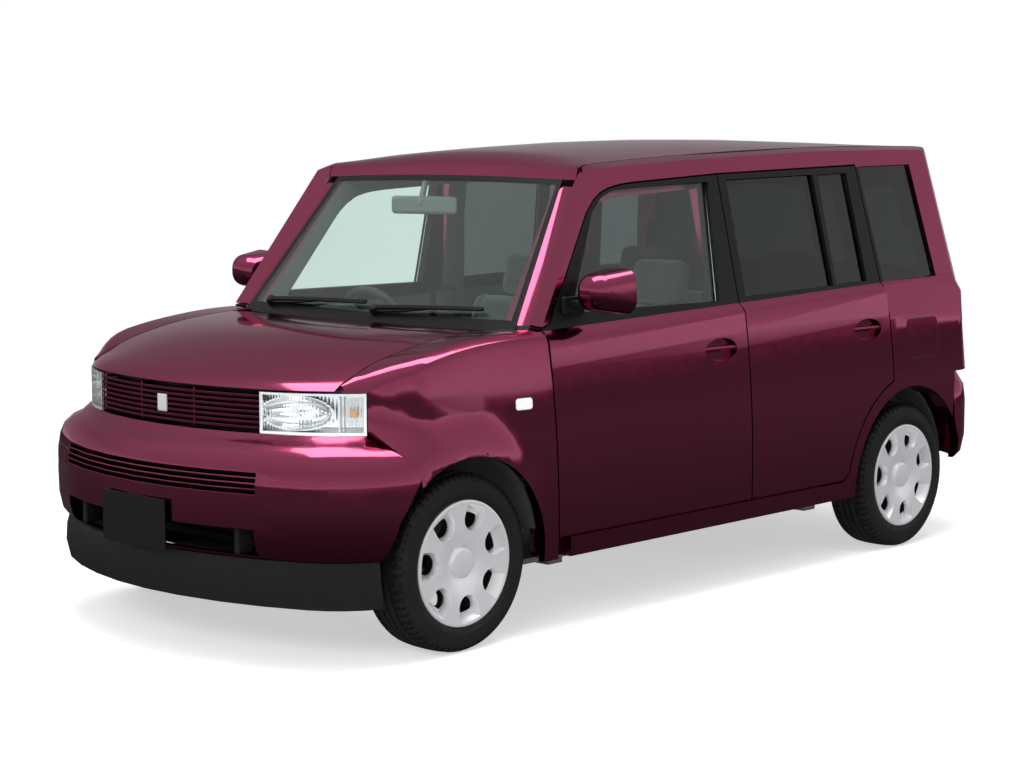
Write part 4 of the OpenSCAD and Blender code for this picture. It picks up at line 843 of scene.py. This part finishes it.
class MINIVAN_OT_cabin(bpy.types.Operator):
    """Dashboard, steering wheel, seats and belts"""

    bl_idname = "minivan.cabin"
    bl_label = "Cabin"

    def execute(self, context):
        looks = context.scene.minivan_looks
        for node, name in (("dashboard", "dash"), ("steering_wheel", "wheel_rim")):
            bm = soften(solid_copy(node), 0.006)
            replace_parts(piece(name, bm, "dash_moulding", body_of(node)), node)
        floor, middle_x = 0.246, AXLE_REAR + 0.552 * WHEELBASE
        bench_x = AXLE_REAR + 0.248 * WHEELBASE

        def tipped(origin, degrees, size, y):
            """Place and turn of a block tipped about its lower rear edge."""
            turn = Matrix.Rotation(math.radians(-degrees), 3, "Y")
            mid = Vector(origin) + turn @ Vector((size[0] / 2, 0.0, size[2] / 2))
            return Vector((mid.x, y, mid.z)), turn

        for name, x, ys, width, heads in (("front_seat_left", middle_x, 0.340, 0.490, (0.0,)),
                                          ("front_seat_right", middle_x, -0.340, 0.490, (0.0,)),
                                          ("rear_bench", bench_x, 0.0, 1.150, (-0.383, 0.383))):
            bolster = (width / 2 - 0.085,) if width < 0.7 else (0.02, width / 2 - 0.10)
            whole = "rear_bench" if width > 0.7 else ("front_seats" if name.endswith("left") else None)
            size = (0.50, width, 0.150)
            place, turn = tipped((x - 0.250, 0, floor + 0.150), 6, size, ys)
            pad(name + "_cushion", [(size, place, turn, 0.045)], ys, bolster, looks, whole)
            size = (0.130, width, 0.600)
            place, turn = tipped((x - 0.240, 0, floor + 0.190), 18, size, ys)
            pad(name + "_back", [(size, place, turn, 0.045)], ys, bolster, looks)
            posts = rounded((0.34, width - 0.10, 0.16), (x - 0.02, ys, floor + 0.085), 0.012)
            for y in heads:
                size = (0.090, 0.260, 0.180)
                place, turn = tipped((x - 0.418, 0, floor + 0.755), 14, size, ys + y)
                pad("%s_head_%d" % (name, heads.index(y)), [(size, place, turn, 0.035)], ys + y, (), looks)
                for dy in (-0.06, 0.06):
                    foot = x - 0.392, ys + y + dy, floor + 0.715
                    join(posts, revolve([(0.0, 0.0), (0.006, 0.0), (0.006, 0.09), (0.0, 0.09)], foot,
                                        turn @ Vector((0, 0, 1)), 16, closed=False))
            piece(name + "_frame", posts, "dash_moulding", "body")
        # Inside mirror on its stalk.
        aimed = Matrix.Rotation(math.radians(12), 3, "Z")
        hung = Matrix.Rotation(math.radians(-18), 3, "Y")
        glass_mid = rounded((0.030, 0.285, 0.066), (0.532, -0.083, 1.400), 0.014, aimed, 4)
        join(glass_mid, rounded((0.020, 0.020, 0.115), (0.530, -0.090, 1.452), 0.006, hung))
        piece("inside_mirror", glass_mid, "trim_moulding", "body")
        # Belts beside the front seats.
        for side, sign in SIDES:
            def along(u, v):
                x = -0.215 + 0.10 * u * u + 0.046 * (v - 0.5)
                return Vector((x, sign * (0.655 - 0.030 * u), 1.330 - 0.74 * u))

            web = strip(24, 1, along, 0.0016)
            join(web, rounded((0.060, 0.020, 0.090), (-0.215, sign * 0.664, 1.335), 0.008))
            piece("belt_" + side, web, "belt_web", "body")
        return {"FINISHED"}


class MINIVAN_OT_running_gear(bpy.types.Operator):
    """Finishes of the floor, engine, suspension and exhaust"""

    bl_idname = "minivan.running_gear"
    bl_label = "Running gear"

    def execute(self, context):
        dress(["floor_pan", "tunnel", "rear_floor", "front_frame", "front_subframe", "rear_axle"],
              "coated_steel")
        dress(["engine", "exhaust", "knuckle_left", "knuckle_right"], "cast_metal")
        dress(["cowl", "fuel_tank"], "black_moulding")
        return {"FINISHED"}


class MINIVAN_OT_stage(bpy.types.Operator):
    """Pale floor, soft light and the camera"""

    bl_idname = "minivan.stage"
    bl_label = "Stage"

    def execute(self, context):
        scene = context.scene
        bm = bmesh.new()
        bmesh.ops.create_grid(bm, x_segments=1, y_segments=1, size=60.0)
        mesh = bpy.data.meshes.new("floor")
        bm.to_mesh(mesh)
        bm.free()
        finish("pale_floor", (0.80, 0.80, 0.80), (0.84, 0.84, 0.84), rough=(0.7, 0.8), scale=4.0,
               Emission_Color=(1.0, 1.0, 1.0, 1.0), Emission_Strength=0.52)
        mesh.materials.append(FINISHES["pale_floor"])
        floor = bpy.data.objects.new("floor", mesh)
        scene.collection.objects.link(floor)
        floor.visible_glossy = False

        world = bpy.data.worlds.new("studio")
        scene.world = world
        world.use_nodes = True
        tree = world.node_tree
        back = tree.nodes["Background"]
        place = put(tree, "ShaderNodeTexCoord")
        split = put(tree, "ShaderNodeSeparateXYZ")
        ramp = put(tree, "ShaderNodeValToRGB")
        lift = put(tree, "ShaderNodeMapRange")
        lift.inputs["From Min"].default_value = -1.0
        stops = ((0.0, 0.04), (0.35, 0.07), (0.45, 0.16), (0.494, 0.05), (0.503, 1.20),
                 (0.53, 0.72), (0.66, 0.52), (1.0, 0.75))
        for i, (spot, value) in enumerate(stops):
            stop = ramp.color_ramp.elements[i] if i < 2 else ramp.color_ramp.elements.new(spot)
            stop.position = spot
            stop.color = (value, value, value, 1.0)
        path = put(tree, "ShaderNodeLightPath")
        mix = put(tree, "ShaderNodeMix", data_type="RGBA")
        mix.inputs["B"].default_value = (1.0, 1.0, 1.0, 1.0)
        # The far side of the studio, which the hood and the roof mirror, is darker.
        across = put(tree, "ShaderNodeMath", operation="ADD")
        shade = put(tree, "ShaderNodeMapRange")
        for label, value in (("From Min", -1.4), ("From Max", -0.4), ("To Min", 0.46), ("To Max", 1.0)):
            shade.inputs[label].default_value = value
        dimmed = put(tree, "ShaderNodeMix", data_type="RGBA", blend_type="MULTIPLY")
        dimmed.inputs["Factor"].default_value = 1.0
        tree.links.new(split.outputs["X"], across.inputs[0])
        tree.links.new(split.outputs["Y"], across.inputs[1])
        tree.links.new(across.outputs[0], shade.inputs["Value"])
        tree.links.new(ramp.outputs["Color"], dimmed.inputs["A"])
        tree.links.new(shade.outputs["Result"], dimmed.inputs["B"])
        tree.links.new(place.outputs["Generated"], split.inputs["Vector"])
        tree.links.new(split.outputs["Z"], lift.inputs["Value"])
        tree.links.new(lift.outputs["Result"], ramp.inputs["Fac"])
        tree.links.new(path.outputs["Is Camera Ray"], mix.inputs["Factor"])
        tree.links.new(dimmed.outputs["Result"], mix.inputs["A"])
        tree.links.new(mix.outputs["Result"], back.inputs["Color"])

        for name, place, aim, size, power in (
                ("ceiling_box", (0.5, 0.5, 5.0), (0.0, 0.0, 0.0), (5.0, 3.0), 260.0),
                ("front_box", (6.5, 3.0, 3.2), (0.8, 0.2, 0.7), (3.0, 1.6), 160.0)):
            data = bpy.data.lights.new(name, "AREA")
            data.shape = "RECTANGLE"
            data.size, data.size_y = size
            data.energy = power
            lamp = bpy.data.objects.new(name, data)
            lamp.location = place
            lamp.rotation_euler = (Vector(aim) - Vector(place)).to_track_quat("-Z", "Y").to_euler()
            lamp.visible_glossy = name == "ceiling_box"
            scene.collection.objects.link(lamp)

        camera = bpy.data.cameras.new("camera")
        camera.sensor_fit = "HORIZONTAL"
        camera.sensor_width = 36.0
        camera.lens = CAMERA_LENS
        camera.clip_end = 200.0
        view = bpy.data.objects.new("camera", camera)
        turn, tilt, roll = (math.radians(angle) for angle in (CAMERA_TURN, CAMERA_TILT, CAMERA_ROLL))
        behind = Vector((math.sin(turn) * math.cos(tilt), -math.cos(turn) * math.cos(tilt), math.sin(tilt)))
        right = Vector((math.cos(turn), math.sin(turn), 0.0))
        axes = Matrix((right, behind.cross(right), behind)).transposed()
        rolled = axes @ Matrix.Rotation(roll, 3, "Z")
        view.matrix_world = Matrix.Translation(CAMERA_PLACE) @ rolled.to_4x4()
        scene.collection.objects.link(view)
        scene.camera = view
        scene.view_settings.view_transform = "Standard"
        return {"FINISHED"}


STEPS = (MINIVAN_OT_panels, MINIVAN_OT_glazing, MINIVAN_OT_front, MINIVAN_OT_lamps, MINIVAN_OT_wheels,
         MINIVAN_OT_mirrors, MINIVAN_OT_cabin, MINIVAN_OT_running_gear, MINIVAN_OT_stage)


class MINIVAN_PT_sidebar(bpy.types.Panel):
    """Steps and sizes of the minivan's looks"""

    bl_label = "Minivan"
    bl_idname = "MINIVAN_PT_sidebar"
    bl_space_type = "VIEW_3D"
    bl_region_type = "UI"
    bl_category = "Minivan"

    def draw(self, context):
        looks = context.scene.minivan_looks
        for name in MinivanLooks.__annotations__:
            self.layout.prop(looks, name)
        for step in STEPS:
            self.layout.operator(step.bl_idname)


CLASSES = (MinivanLooks,) + STEPS + (MINIVAN_PT_sidebar,)


def register():
    for item in CLASSES:
        bpy.utils.register_class(item)
    bpy.types.Scene.minivan_looks = PointerProperty(type=MinivanLooks)


def unregister():
    del bpy.types.Scene.minivan_looks
    for item in reversed(CLASSES):
        bpy.utils.unregister_class(item)


def main():
    register()
    make_finishes(bpy.context.scene.minivan_looks)
    for step in STEPS:
        group, name = step.bl_idname.split(".")
        getattr(getattr(bpy.ops, group), name)()


if __name__ == "__main__":
    main()
